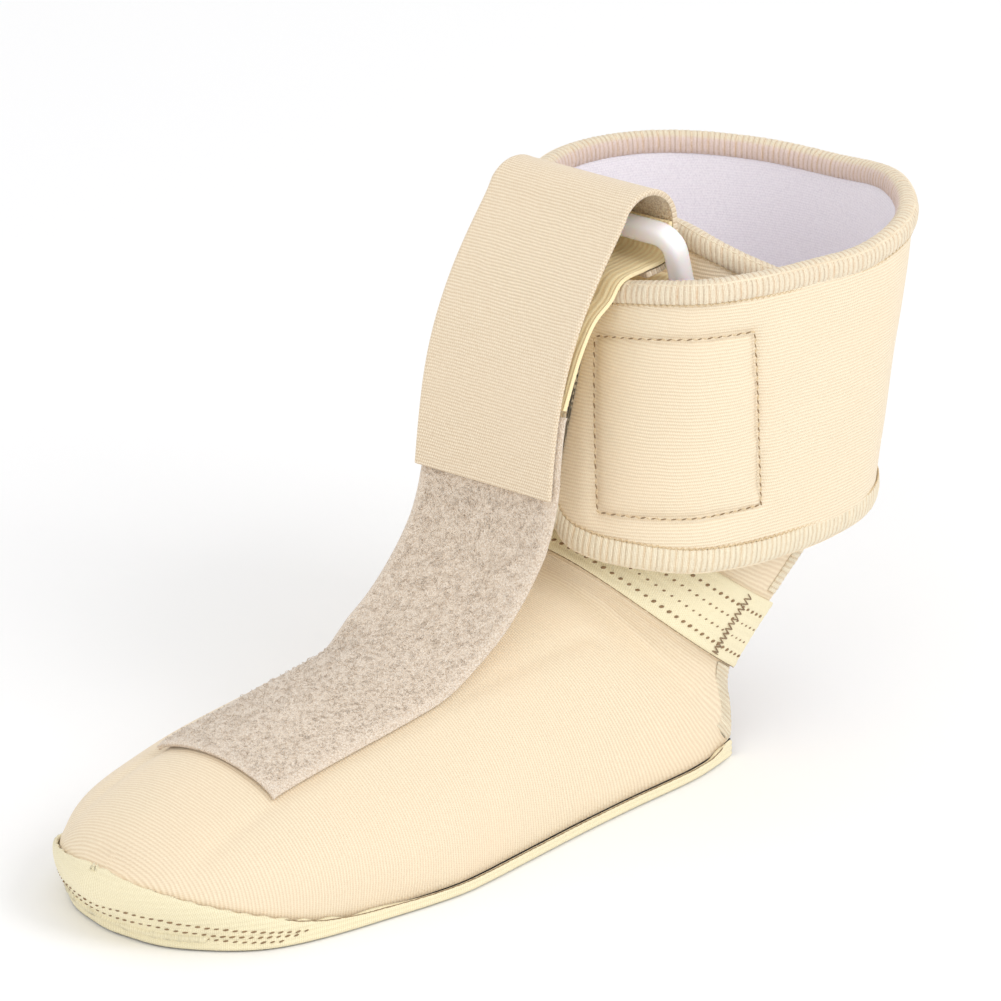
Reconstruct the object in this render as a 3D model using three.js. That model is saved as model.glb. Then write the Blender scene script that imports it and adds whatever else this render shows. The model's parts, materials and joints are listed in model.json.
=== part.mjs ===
// Foot drop brace: a sock-like foot part with an open heel, a padded cuff closed round the shin,
// and a lift strap that passes over a plastic ring at the front of the cuff.
// Millimetres. Toe towards -Y, up is +Z, the sole's underside lies on Z = 0 and X = 0 is its centre line.
import * as THREE from 'three';

// Clearance between two pieces that lie on each other
const GAP = 0.35;

// Foot part
const TOE_REACH = 91.5;
const HEEL_REACH = 107;
const BALL_HALF_WIDTH = 46.5;
const INSTEP_HEIGHT = 61.5;
const ANKLE_FRONT = 64;
const UPPER_WALL = 2.6;
const SOLE_THICKNESS = 3;
const UPPER_STAND = 1.3;
const HEEL_SCOOP = 5;

// Trims of the foot part
const BAND_WALL = 1.2;
const BINDING_WALL = 1.1;
const BINDING_STAND = 0.75;
const BINDING_CLEARANCE = 0.6;
const TOE_BINDING_SHARE = 0.5;
const TOE_BINDING_FALL = 1.5;
const TOE_BINDING_HEIGHT = 18.5;
const SIDE_BINDING_HEIGHT = 0.6;

// Cuff
const CUFF_TOP_RADIUS = 52;
const CUFF_BOTTOM_RADIUS = 48;
const CUFF_TOP_CENTRE = 116;
const CUFF_BOTTOM_CENTRE = 112;
const CUFF_BASE_HEIGHT = 60;
const CUFF_HEIGHT = 82;
const CUFF_WALL = 2.8;
const LINING_WALL = 0.9;
const LINING_INSET = 1.5;
const LINING_END = 0.15;
const FLAP_LIFT = 10;

// Square hook patch on the inner face of the outer flap
const PATCH_SIDE = 48;
const PATCH_WALL = 1;
const PATCH_TURN = 47;
const PATCH_HEIGHT = 40;

// Ring
const RING_OPENING_WIDTH = 47;
const RING_OPENING_HEIGHT = 13.5;
const RING_BAR = 5.8;
const RING_CORNER = 5;
const RING_BEFORE_FLAP = 20.6;
const RING_ABOVE_FLAP = 3.0;
const RING_LEAN = 17;

// Straps
const STRAP_WIDTH = 45;
const STRAP_TURN = 8;
const STRAP_WALL = 1.5;
const FOLD_RADIUS = 10.5;
const FOLD_STAND = 2.3;
const STRAP_BOW = 6.5;
const STRAP_RETURN_POINTS = 4;
const STRAP_END_ALONG = 43.6;
const STRAP_END_HEIGHT = 86;
const LOOP_WALL = 2;
const LOOP_TOE_END = -51;
const LOOP_LEAVES_FOOT = 12;
const LOOP_PARTING = 10;
const LOOP_FLATTENS = 30;
const LOOP_CROWN = 3;
const LOOP_TAIL_POINTS = 4;
const WEBBING_END = 0.32;
const WEBBING_WALL = 1.4;
const TAB_WALL = 1.4;
const TAB_WIDTH = 42;
const TAB_DROP = 22;
const TAB_WRAP = 10;
const TAB_CLEARANCE = 0.6;
const TAB_PLY_SHARES = [1, 0.5, 0.25];

// Fineness of the faceted surfaces
const STATION_STEPS = 2;
const FOOT_ROWS = 10;
const RELAX_PASSES = 6;
const RELAX_SHARE = 0.5;
const CUFF_COLUMNS = 78;
const CUFF_ROWS = 5;
const STRAP_ROWS = 4;
const RING_SIDES = 8;
const RING_ARC_STEPS = 4;
const SCOOP_STEPS = 8;
const BINDING_ROWS = 5;
const PATCH_STEPS = 8;
const PLACE_PRECISION = 0.001;
const ARC_STEP = 24;
const FRONT_STEPS = 10;
const LIFT_STEPS = 34;
const WEBBING_STEPS = 24;
const TAB_STEPS = 28;
const LOOP_STEPS = 30;
const LOOP_ROWS = 6;
const LOOP_SEWN_STEPS = 7;
const SURFACE_STEP = 1.5;

const lerp = THREE.MathUtils.lerp;
const radians = THREE.MathUtils.degToRad;
const degrees = THREE.MathUtils.radToDeg;

// Table rows as records, with the columns' names
function named(columns, rows) {
  return rows.map((row) => Object.fromEntries(columns.map((name, i) => [name, row[i]])));
}

// Stations along the foot part, from the toe tip along the sole's edge to the heel corner and up the
// back edge. Each is a cross curve from its foot at the edge to the crest of the instep.
// out and along: place of the foot, as shares of the half width and of the toe or heel reach.
// up: its height above the sole, as a share of the instep height.
// leanOut, leanAlong, rise: the curve's first handle, as shares of half width, heel reach and instep.
// crestAlong, crestUp: the crest point, as shares of the ankle front (or toe reach) and instep height.
// spread: the crest handle, a share of the half width. turn: degrees it turns along the crest.
const STATION_COLUMNS = [
  'out', 'along', 'up', 'leanOut', 'leanAlong', 'rise', 'crestAlong', 'crestUp', 'spread', 'turn',
];
const STATIONS = named(STATION_COLUMNS, [
  [0.000, -0.950, 0.000, 0.000, -0.130, 0.180, -0.950, 0.345, 0.240, 90],
  [0.300, -0.925, 0.000, 0.100, -0.120, 0.200, -0.905, 0.410, 0.253, 60],
  [0.530, -0.855, 0.000, 0.220, -0.100, 0.220, -0.815, 0.485, 0.400, 35],
  [0.750, -0.735, 0.000, 0.260, -0.060, 0.250, -0.665, 0.550, 0.420, 17],
  [0.865, -0.570, 0.000, 0.270, -0.010, 0.280, -0.520, 0.610, 0.450, 6],
  [0.935, -0.340, 0.000, 0.230, 0.000, 0.310, -0.310, 0.665, 0.480, 0],
  [0.985, -0.090, 0.000, 0.170, 0.000, 0.330, -0.070, 0.700, 0.530, 0],
  [0.938, 0.130, 0.000, 0.110, 0.000, 0.360, 0.220, 0.770, 0.537, 0],
  [0.875, 0.355, 0.000, 0.050, -0.010, 0.390, 0.480, 0.845, 0.495, 0],
  [0.827, 0.580, 0.000, -0.011, -0.030, 0.420, 0.680, 0.890, 0.464, 0],
  [0.796, 0.785, 0.000, 0.000, -0.080, 0.440, 0.820, 0.925, 0.443, 0],
  [0.727, 0.920, 0.000, 0.032, -0.140, 0.430, 0.890, 0.950, 0.432, 0],
  [0.643, 1.000, 0.000, 0.105, -0.200, 0.400, 0.940, 0.970, 0.432, 0],
  [0.606, 1.012, 0.140, 0.190, -0.250, 0.360, 0.970, 0.983, 0.443, 0],
  [0.611, 1.010, 0.310, 0.253, -0.280, 0.330, 1.015, 1.000, 0.453, 0],
  [0.664, 1.125, 0.570, 0.232, -0.280, 0.300, 1.235, 1.175, 0.453, 0],
  [0.706, 1.260, 0.820, 0.158, -0.270, 0.200, 1.300, 1.270, 0.443, 0],
  [0.717, 1.325, 0.980, 0.126, -0.270, 0.140, 1.330, 1.330, 0.443, 0],
]);
const HEEL_CORNER = 12;
const BAND_LOW = 14;
const BAND_HIGH = 15;
const LAST_STATION = STATIONS.length - 1;
const SOLE_STEPS = STATION_STEPS * HEEL_CORNER;

// Sections of the cuff band, from the end of the outer flap round the right side, the back and the
// left side to the end of the inner flap. turn: degrees from the front towards +X.
// top, bottom: distance from the cuff's axis, as shares of its two radii.
// topRise, bottomRise: height added to the two rims, as shares of the flap lift.
// ease: power of the change from the bottom distance to the top one.
const SECTION_COLUMNS = ['turn', 'top', 'bottom', 'topRise', 'bottomRise', 'ease'];
const CUFF_SECTIONS = named(SECTION_COLUMNS, [
  [7, 0.800, 1.085, -0.90, 1.90, 1.00],
  [13, 0.830, 1.090, -0.62, 0.85, 1.00],
  [22, 0.880, 1.090, -0.35, 0.50, 1.00],
  [36, 0.965, 1.080, -0.10, 0.32, 1.00],
  [52, 1.035, 1.060, 0.05, 0.15, 1.00],
  [70, 1.000, 1.000, 0.05, 0.05, 1.00],
  [90, 0.990, 0.970, 0.00, 0.00, 1.00],
  [110, 1.080, 1.020, 0.00, 0.00, 1.00],
  [130, 1.190, 1.130, 0.28, 0.05, 1.00],
  [155, 1.210, 1.190, 0.42, 0.00, 1.00],
  [180, 1.180, 1.170, 0.12, -0.10, 1.00],
  [205, 1.150, 1.110, 0.15, -0.25, 1.00],
  [235, 1.120, 1.020, 0.25, -0.10, 1.00],
  [262, 1.030, 0.960, 0.30, 0.00, 1.00],
  [282, 0.900, 0.955, 0.25, 0.10, 1.10],
  [297, 0.660, 0.960, 0.30, 0.20, 1.15],
  [314, 0.430, 0.965, 0.38, 0.45, 1.20],
  [335, 0.280, 0.965, 0.45, 0.70, 1.20],
  [360, 0.225, 0.965, 0.50, 0.80, 1.20],
  [385, 0.250, 0.965, 0.48, 0.70, 1.20],
  [405, 0.330, 0.940, 0.40, 0.45, 1.20],
  [422, 0.520, 0.900, 0.25, 0.18, 1.20],
  [440, 0.700, 0.850, -0.25, 0.10, 1.10],
  [452, 0.800, 0.830, -0.70, 0.05, 1.00],
]);
const FLAP_FRONT_TURN = 360;
const LAST_SECTION = CUFF_SECTIONS.length - 1;

// Return way of the straps between the loop strip's top and the ring's top bar, as shares of the two
const RETURN_WAY = [
  { back: 1.00, rise: 1.00 },
  { back: 0.94, rise: 0.925 },
  { back: 0.75, rise: 0.895 },
  { back: 0.53, rise: 0.86 },
  { back: 0.43, rise: 0.74 },
  { back: 0.28, rise: 0.62 },
  { back: 0.16, rise: 0.42 },
];

// Free rise of the loop strip between the instep and the lift strap's end, as shares of the two
const LOOP_RISE = [
  { along: 0.44, up: 0.20 },
  { along: 0.85, up: 0.60 },
];
const DOWN = new THREE.Vector3(0, 0, -1);

// Points are joined when they round to one place at this many steps a millimetre
const WELD_STEPS = 1000;

// Value of one column of a table at a fractional row, on a smooth curve through the rows
function column(table, name, place) {
  const last = table.length - 1;
  const low = Math.min(Math.max(Math.floor(place), 0), last - 1);
  const share = place - low;
  const at = (row) => table[Math.min(Math.max(row, 0), last)][name];
  const before = at(low - 1);
  const start = at(low);
  const end = at(low + 1);
  const after = at(low + 2);
  const leave = (end - before) / 2;
  const arrive = (after - start) / 2;
  const square = share * share;
  const cube = square * share;
  return (2 * cube - 3 * square + 1) * start + (cube - 2 * square + share) * leave
    + (3 * square - 2 * cube) * end + (cube - square) * arrive;
}

// Triangles of a grid of points held row after row
function gridFaces(columns, rows) {
  const faces = [];
  for (let c = 0; c < columns; c += 1) {
    for (let r = 0; r < rows; r += 1) {
      const a = c * (rows + 1) + r;
      const b = a + rows + 1;
      faces.push([a, b, b + 1], [a, b + 1, a + 1]);
    }
  }
  return faces;
}

// Points of a surface at (columns + 1) by (rows + 1) places
function sampleGrid(columns, rows, pointAt) {
  const points = [];
  for (let c = 0; c <= columns; c += 1) {
    for (let r = 0; r <= rows; r += 1) {
      points.push(pointAt(c / columns, r / rows));
    }
  }
  return { points, faces: gridFaces(columns, rows) };
}

// The surface and its mirror image across X = 0
function mirrored(surface) {
  const { points, faces } = surface;
  const count = points.length;
  const other = points.map((p) => new THREE.Vector3(-p.x, p.y, p.z));
  const turned = faces.map(([a, b, c]) => [a + count, c + count, b + count]);
  return { points: [...points, ...other], faces: [...faces, ...turned] };
}

// Joins points that lie in one place and drops triangles that lose a side
function welded({ points, faces }) {
  const found = new Map();
  const kept = [];
  const places = points.map((p) => {
    const key = [p.x, p.y, p.z].map((v) => Math.round(v * WELD_STEPS) + 0).join(' ');
    if (!found.has(key)) {
      found.set(key, kept.length);
      kept.push(p);
    }
    return found.get(key);
  });
  const moved = faces.map((face) => face.map((v) => places[v]));
  return { points: kept, faces: moved.filter(([a, b, c]) => a !== b && b !== c && c !== a) };
}

// Mean outward direction at each point of a welded surface
function directions({ points, faces }) {
  const sums = points.map(() => new THREE.Vector3());
  faces.forEach(([a, b, c]) => {
    const side = new THREE.Vector3().subVectors(points[b], points[a]);
    const other = new THREE.Vector3().subVectors(points[c], points[a]);
    const normal = side.cross(other);
    [a, b, c].forEach((v) => sums[v].add(normal));
  });
  return sums.map((sum) => sum.normalize());
}

// A closed wall: the surface, its inner copy one wall below and the rim between them
function wallOf(surface, wall, lift = 0) {
  const { points, faces } = welded(surface);
  const normals = directions({ points, faces });
  const count = points.length;
  const outer = points.map((p, i) => p.clone().addScaledVector(normals[i], lift + wall));
  const inner = points.map((p, i) => p.clone().addScaledVector(normals[i], lift));
  const open = new Map();
  faces.forEach((face) => {
    face.forEach((from, i) => {
      const to = face[(i + 1) % face.length];
      if (!open.delete(`${to} ${from}`)) {
        open.set(`${from} ${to}`, [from, to]);
      }
    });
  });
  const all = [...faces];
  faces.forEach(([a, b, c]) => all.push([a + count, c + count, b + count]));
  open.forEach(([a, b]) => all.push([b, a, a + count], [b, a + count, b + count]));
  return solidFrom([...outer, ...inner], all);
}

function solidFrom(points, faces) {
  const geometry = new THREE.BufferGeometry();
  geometry.setAttribute('position', new THREE.Float32BufferAttribute(points.flatMap((p) => p.toArray()), 3));
  geometry.setIndex(faces.flat());
  geometry.computeVertexNormals();
  return geometry;
}

// Outer surface of the foot part: place runs over the stations, across from the edge to the crest
function footPoint(place, across) {
  const value = (name) => column(STATIONS, name, place);
  const reach = (share, front) => share * (share < 0 ? TOE_REACH : front);
  const crestAt = (where) => new THREE.Vector3(
    0,
    reach(column(STATIONS, 'crestAlong', where), ANKLE_FRONT),
    column(STATIONS, 'crestUp', where) * INSTEP_HEIGHT,
  );
  const edge = new THREE.Vector3(
    value('out') * BALL_HALF_WIDTH,
    reach(value('along'), HEEL_REACH),
    SOLE_THICKNESS + UPPER_STAND + value('up') * INSTEP_HEIGHT,
  );
  const handle = new THREE.Vector3(
    value('leanOut') * BALL_HALF_WIDTH,
    value('leanAlong') * HEEL_REACH,
    value('rise') * INSTEP_HEIGHT,
  ).add(edge);
  const crest = crestAt(place);
  const near = Math.min(place, LAST_STATION - 1);
  const alongCrest = crestAt(near + 1).sub(crestAt(near)).normalize();
  const turn = radians(value('turn'));
  const spread = value('spread') * BALL_HALF_WIDTH;
  const crestHandle = crest.clone()
    .addScaledVector(new THREE.Vector3(1, 0, 0), spread * Math.cos(turn))
    .addScaledVector(alongCrest, -spread * Math.sin(turn));
  const curve = new THREE.CubicBezierCurve3(edge, handle, crestHandle, crest);
  const point = curve.getPoint(across);
  const onCentre = place === 0 || across === 1;
  return onCentre ? point.setX(0) : point;
}

// Outer surface of the cuff: place runs over the sections, up from the lower rim to the upper one
function cuffPoint(place, up) {
  const value = (name) => column(CUFF_SECTIONS, name, place);
  const turn = radians(value('turn'));
  const bottom = value('bottom') * CUFF_BOTTOM_RADIUS;
  const top = value('top') * CUFF_TOP_RADIUS;
  const distance = lerp(bottom, top, up ** value('ease'));
  const low = CUFF_BASE_HEIGHT + value('bottomRise') * FLAP_LIFT;
  const high = CUFF_BASE_HEIGHT + CUFF_HEIGHT + value('topRise') * FLAP_LIFT;
  const centre = lerp(CUFF_BOTTOM_CENTRE, CUFF_TOP_CENTRE, up);
  return new THREE.Vector3(
    distance * Math.sin(turn),
    centre - distance * Math.cos(turn),
    lerp(low, high, up),
  );
}

// Point in the plane X = 0
function flat(along, height) {
  return new THREE.Vector3(0, along, height);
}

// Smooth path through points
function pathThrough(points) {
  return new THREE.CatmullRomCurve3(points, false, 'centripetal');
}

// A point beside a strap's middle line; the straps stand a little turned about the vertical
function turnedPoint(middle, side, turn) {
  const angle = radians(turn);
  return new THREE.Vector3(side * Math.cos(angle), middle.y + side * Math.sin(angle), middle.z);
}

// A flat strap that follows a path; its outer face lies on the path
function strapSurface(path, width, steps) {
  return sampleGrid(steps, STRAP_ROWS, (along, across) => (
    turnedPoint(path.getPointAt(along), width * (0.5 - across), STRAP_TURN)));
}

const material = (color, roughness, metalness = 0) => new THREE.MeshStandardMaterial({
  color,
  roughness,
  metalness,
});

function mesh(name, geometry, look) {
  const piece = new THREE.Mesh(geometry, look);
  piece.name = name;
  return piece;
}

// Right half of the foot part: columns of points from the edge to the crest. Each pass moves every
// point in front of the band towards the mean of its four neighbours; those across X = 0 are mirror
// images.
function footColumns() {
  const last = STATION_STEPS * LAST_STATION;
  const held = STATION_STEPS * BAND_LOW;
  let grid = Array.from({ length: last + 1 }, (_, c) => (
    Array.from({ length: FOOT_ROWS + 1 }, (__, r) => footPoint(c / STATION_STEPS, r / FOOT_ROWS))));
  const across = (p) => new THREE.Vector3(-p.x, p.y, p.z);
  for (let pass = 0; pass < RELAX_PASSES; pass += 1) {
    const before = grid;
    grid = before.map((points, c) => points.map((point, r) => {
      if (r === 0 || c >= held) {
        return point;
      }
      const mean = points[r - 1].clone()
        .add(r < FOOT_ROWS ? points[r + 1] : across(points[r - 1]))
        .add(c > 0 ? before[c - 1][r] : across(before[1][r]))
        .add(before[c + 1][r])
        .multiplyScalar(1 / 4);
      return point.clone().lerp(mean, RELAX_SHARE);
    }));
  }
  return grid;
}

// Grid surface over columns of points
function surfaceOver(columns) {
  return { points: columns.flat(), faces: gridFaces(columns.length - 1, columns[0].length - 1) };
}

function footUpper(columns) {
  const half = surfaceOver(columns);
  return mesh('foot_upper', wallOf(mirrored(half), UPPER_WALL, -UPPER_WALL), material(0xf5e4c3, 0.9));
}

// Point of a column at a length along it from the edge
function alongColumn(points, length) {
  let left = length;
  for (let r = 1; r < points.length; r += 1) {
    const span = points[r].distanceTo(points[r - 1]);
    if (left <= span) {
      return points[r - 1].clone().lerp(points[r], left / span);
    }
    left -= span;
  }
  return points[points.length - 1].clone();
}

function sole(columns) {
  const right = columns.slice(0, SOLE_STEPS + 1).map((points) => points[0]);
  const outline = new THREE.Shape();
  outline.moveTo(right[0].x, right[0].y);
  right.slice(1).forEach((p) => outline.lineTo(p.x, p.y));
  const corner = right[right.length - 1];
  outline.quadraticCurveTo(0, corner.y - 2 * HEEL_SCOOP, -corner.x, corner.y);
  right.slice(1, -1).reverse().forEach((p) => outline.lineTo(-p.x, p.y));
  outline.closePath();
  const plate = new THREE.ExtrudeGeometry(outline, {
    depth: SOLE_THICKNESS,
    bevelEnabled: false,
    curveSegments: SCOOP_STEPS,
  });
  return mesh('sole', plate, material(0x3a3632, 0.95));
}

// Knitted band over the sole's edge: high round the toes, narrow along the sides
function soleBinding(columns) {
  const rows = columns.slice(0, SOLE_STEPS).map((points, c) => {
    const toe = Math.cos(Math.min(c / SOLE_STEPS / TOE_BINDING_SHARE, 1) * Math.PI) / 2 + 0.5;
    const height = lerp(SIDE_BINDING_HEIGHT, TOE_BINDING_HEIGHT, toe ** TOE_BINDING_FALL);
    const upwards = Array.from({ length: BINDING_ROWS }, (_, r) => (
      alongColumn(points, (r / (BINDING_ROWS - 1)) * height)));
    return [points[0].clone().setZ(BINDING_CLEARANCE), ...upwards];
  });
  const half = surfaceOver(rows);
  const trim = wallOf(mirrored(half), BINDING_WALL, BINDING_STAND);
  return mesh('sole_binding', trim, material(0xf1e5c2, 0.85));
}

function ankleBand(columns) {
  const half = surfaceOver(columns.slice(STATION_STEPS * BAND_LOW, STATION_STEPS * BAND_HIGH + 1));
  return mesh('ankle_band', wallOf(mirrored(half), BAND_WALL, GAP), material(0xf0e4c0, 0.85));
}

function cuff() {
  const band = sampleGrid(CUFF_COLUMNS, CUFF_ROWS, (along, up) => cuffPoint(along * LAST_SECTION, up));
  return mesh('cuff', wallOf(band, CUFF_WALL, -CUFF_WALL), material(0xf8ebcd, 0.9));
}

function cuffLining() {
  const inset = LINING_INSET / CUFF_HEIGHT;
  const end = LINING_END;
  const band = sampleGrid(CUFF_COLUMNS, CUFF_ROWS, (along, up) => (
    cuffPoint(lerp(end, LAST_SECTION - end, along), lerp(inset, 1 - inset, up))));
  const depth = CUFF_WALL + GAP + LINING_WALL;
  return mesh('cuff_lining', wallOf(band, LINING_WALL, -depth), material(0xd2cdd4, 0.95));
}

// Row of the cuff table that stands at an angle
function placeAtTurn(turn) {
  let low = 0;
  let high = LAST_SECTION;
  while (high - low > PLACE_PRECISION) {
    const middle = (low + high) / 2;
    if (column(CUFF_SECTIONS, 'turn', middle) < turn) {
      low = middle;
    } else {
      high = middle;
    }
  }
  return low;
}

function hookPatch() {
  const half = degrees(PATCH_SIDE / 2 / CUFF_TOP_RADIUS);
  const low = (PATCH_HEIGHT - PATCH_SIDE / 2) / CUFF_HEIGHT;
  const high = (PATCH_HEIGHT + PATCH_SIDE / 2) / CUFF_HEIGHT;
  const sheet = sampleGrid(PATCH_STEPS, PATCH_STEPS, (along, up) => (
    cuffPoint(placeAtTurn(lerp(PATCH_TURN - half, PATCH_TURN + half, along)), lerp(low, high, up))));
  const depth = CUFF_WALL + GAP + LINING_WALL + GAP + PATCH_WALL;
  return mesh('cuff_hook_patch', wallOf(sheet, PATCH_WALL, -depth), material(0xe6dcc4, 0.8));
}

// Middle of the ring's top bar, in front of the inner flap's upper rim
function ringTop() {
  const rim = cuffPoint(placeAtTurn(FLAP_FRONT_TURN), 1);
  return flat(rim.y - RING_BEFORE_FLAP, rim.z + RING_ABOVE_FLAP);
}

// Middle line of the ring: a rounded rectangle
function ringOutline() {
  const x = (RING_OPENING_WIDTH + RING_BAR) / 2;
  const y = (RING_OPENING_HEIGHT + RING_BAR) / 2;
  const outline = new THREE.Shape();
  outline.moveTo(x - RING_CORNER, y);
  outline.lineTo(RING_CORNER - x, y);
  outline.absarc(RING_CORNER - x, y - RING_CORNER, RING_CORNER, Math.PI / 2, Math.PI);
  outline.lineTo(-x, RING_CORNER - y);
  outline.absarc(RING_CORNER - x, RING_CORNER - y, RING_CORNER, Math.PI, 1.5 * Math.PI);
  outline.lineTo(x - RING_CORNER, -y);
  outline.absarc(x - RING_CORNER, RING_CORNER - y, RING_CORNER, 1.5 * Math.PI, 2 * Math.PI);
  outline.lineTo(x, y - RING_CORNER);
  outline.absarc(x - RING_CORNER, y - RING_CORNER, RING_CORNER, 0, Math.PI / 2);
  return outline;
}

// A round bar bent along the closed outline, in the plane of the outline
function bentBar(outline, bar, sides) {
  const all = outline.getPoints(RING_ARC_STEPS);
  const line = all.filter((p, i) => i === 0 || p.distanceTo(all[i - 1]) > GAP);
  if (line[0].distanceTo(line[line.length - 1]) < GAP) {
    line.pop();
  }
  const count = line.length;
  const points = [];
  const faces = [];
  line.forEach((point, i) => {
    const before = line[(i + count - 1) % count];
    const after = line[(i + 1) % count];
    const side = after.clone().sub(before).normalize().rotateAround(new THREE.Vector2(), -Math.PI / 2);
    for (let s = 0; s < sides; s += 1) {
      const turn = (s / sides) * 2 * Math.PI;
      const out = (Math.cos(turn) * bar) / 2;
      const forward = (Math.sin(turn) * bar) / 2;
      points.push(new THREE.Vector3(point.x + side.x * out, forward, point.y + side.y * out));
      const next = (i + 1) % count;
      const s2 = (s + 1) % sides;
      faces.push([i * sides + s, next * sides + s2, next * sides + s]);
      faces.push([i * sides + s, i * sides + s2, next * sides + s2]);
    }
  });
  return solidFrom(points, faces);
}

// The ring leans back from its top bar and is turned with the straps
function ring() {
  const piece = mesh('ring', bentBar(ringOutline(), RING_BAR, RING_SIDES), material(0xfbfbfc, 0.25));
  const drop = (RING_OPENING_HEIGHT + RING_BAR) / 2;
  const lean = radians(RING_LEAN);
  const back = drop * Math.sin(lean);
  const turn = radians(STRAP_TURN);
  const top = ringTop();
  piece.position.set(
    -back * Math.sin(turn),
    top.y + back * Math.cos(turn),
    top.z - drop * Math.cos(lean),
  );
  piece.rotation.set(lean, 0, turn, 'ZXY');
  return piece;
}

// Middle of the ring's lower bar in the plane X = 0
function lowerBar() {
  const drop = RING_OPENING_HEIGHT + RING_BAR;
  const top = ringTop();
  const lean = radians(RING_LEAN);
  return flat(top.y + drop * Math.sin(lean), top.z - drop * Math.cos(lean));
}

// Points on a circle in the plane X = 0, between two angles from +Y
function arc(centre, radius, from, to) {
  const count = Math.ceil(Math.abs(to - from) / ARC_STEP);
  return Array.from({ length: count + 1 }, (_, i) => {
    const turn = radians(lerp(from, to, i / count));
    return flat(centre.y + radius * Math.cos(turn), centre.z + radius * Math.sin(turn));
  });
}

// Points moved sideways from a line of points, to the outer side of a strap that follows it
function beside(points, distance) {
  return points.map((point, i) => {
    const before = points[Math.max(i - 1, 0)];
    const after = points[Math.min(i + 1, points.length - 1)];
    const way = after.clone().sub(before).normalize();
    return flat(point.y - way.z * distance, point.z + way.y * distance);
  });
}

// Way of the straps back through the ring: behind the top bar, through the ring and down to the loop strip
function returnWay() {
  const top = ringTop();
  const behind = top.y + RING_BAR / 2 + GAP + WEBBING_WALL + GAP / 2;
  const end = frontWay(WEBBING_END)[0];
  const seat = STRAP_WALL + GAP + WEBBING_WALL + GAP / 2;
  const low = beside([end, frontWay(WEBBING_END)[1]], -seat)[0];
  const high = flat(behind, top.z - RING_BAR);
  return [
    flat(behind, top.z + FOLD_STAND),
    ...RETURN_WAY.map(({ back, rise }) => flat(lerp(low.y, high.y, back), lerp(low.z, high.z, rise))),
    low,
  ];
}

// Outer face of the front ply, from a share of its length up to the fold
function frontWay(from = 0) {
  const fold = foldCentre();
  const low = flat(STRAP_END_ALONG, STRAP_END_HEIGHT);
  const reach = fold.clone().sub(low);
  const lean = Math.atan2(reach.z, reach.y);
  const half = Math.asin(FOLD_RADIUS / reach.length());
  const turn = lean + half + Math.PI / 2;
  const high = flat(fold.y + FOLD_RADIUS * Math.cos(turn), fold.z + FOLD_RADIUS * Math.sin(turn));
  const way = high.clone().sub(low).normalize();
  const points = [];
  for (let i = 0; i <= FRONT_STEPS; i += 1) {
    const share = lerp(from, 1, i / FRONT_STEPS);
    const bow = STRAP_BOW * Math.sin(Math.PI * share);
    const point = low.clone().lerp(high, share);
    points.push(flat(point.y - way.z * bow, point.z + way.y * bow));
  }
  return points;
}

function foldCentre() {
  const outer = RING_BAR / 2 + GAP + WEBBING_WALL + GAP + STRAP_WALL;
  const top = ringTop();
  return flat(top.y + outer - FOLD_RADIUS, top.z + FOLD_STAND);
}

function liftStrap() {
  const fold = foldCentre();
  const front = frontWay();
  const top = front[front.length - 1];
  const start = degrees(Math.atan2(top.z - fold.z, top.y - fold.y));
  const back = beside(returnWay(), GAP / 2 + STRAP_WALL).slice(1, STRAP_RETURN_POINTS);
  const path = [...front, ...arc(fold, FOLD_RADIUS, start, 0).slice(1), ...back];
  const surface = strapSurface(pathThrough(path), STRAP_WIDTH, LIFT_STEPS);
  return mesh('lift_strap', wallOf(surface, STRAP_WALL, -STRAP_WALL), material(0xe8dac2, 0.85));
}

function liftWebbing() {
  const surface = strapSurface(pathThrough(returnWay()), STRAP_WIDTH, WEBBING_STEPS);
  const strap = wallOf(surface, WEBBING_WALL, -GAP / 2 - WEBBING_WALL);
  return mesh('lift_webbing', strap, material(0xefd5a7, 0.85));
}

// Height of the foot part's outer face above a place, or null beside it
function heightOn(upper, x, along) {
  const above = new THREE.Vector3(x, along, CUFF_BASE_HEIGHT + CUFF_HEIGHT);
  const ray = new THREE.Raycaster(above, DOWN);
  const [hit] = ray.intersectObject(upper);
  return hit ? hit.point.z : null;
}

// Points across the foot part at equal steps along its surface, from the centre line to one edge
function acrossFoot(upper, along, half) {
  const points = [];
  let x = 0;
  let height = heightOn(upper, x, along);
  points.push(new THREE.Vector2(x, height));
  for (let r = 0; r < LOOP_ROWS / 2; r += 1) {
    let left = half / (LOOP_ROWS / 2);
    while (left > 0) {
      const step = Math.min(left, SURFACE_STEP);
      const slope = (heightOn(upper, x + step, along) - height) / step;
      x += step / Math.hypot(1, slope);
      height = heightOn(upper, x, along);
      left -= SURFACE_STEP;
    }
    points.push(new THREE.Vector2(x, height));
  }
  return points;
}

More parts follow.
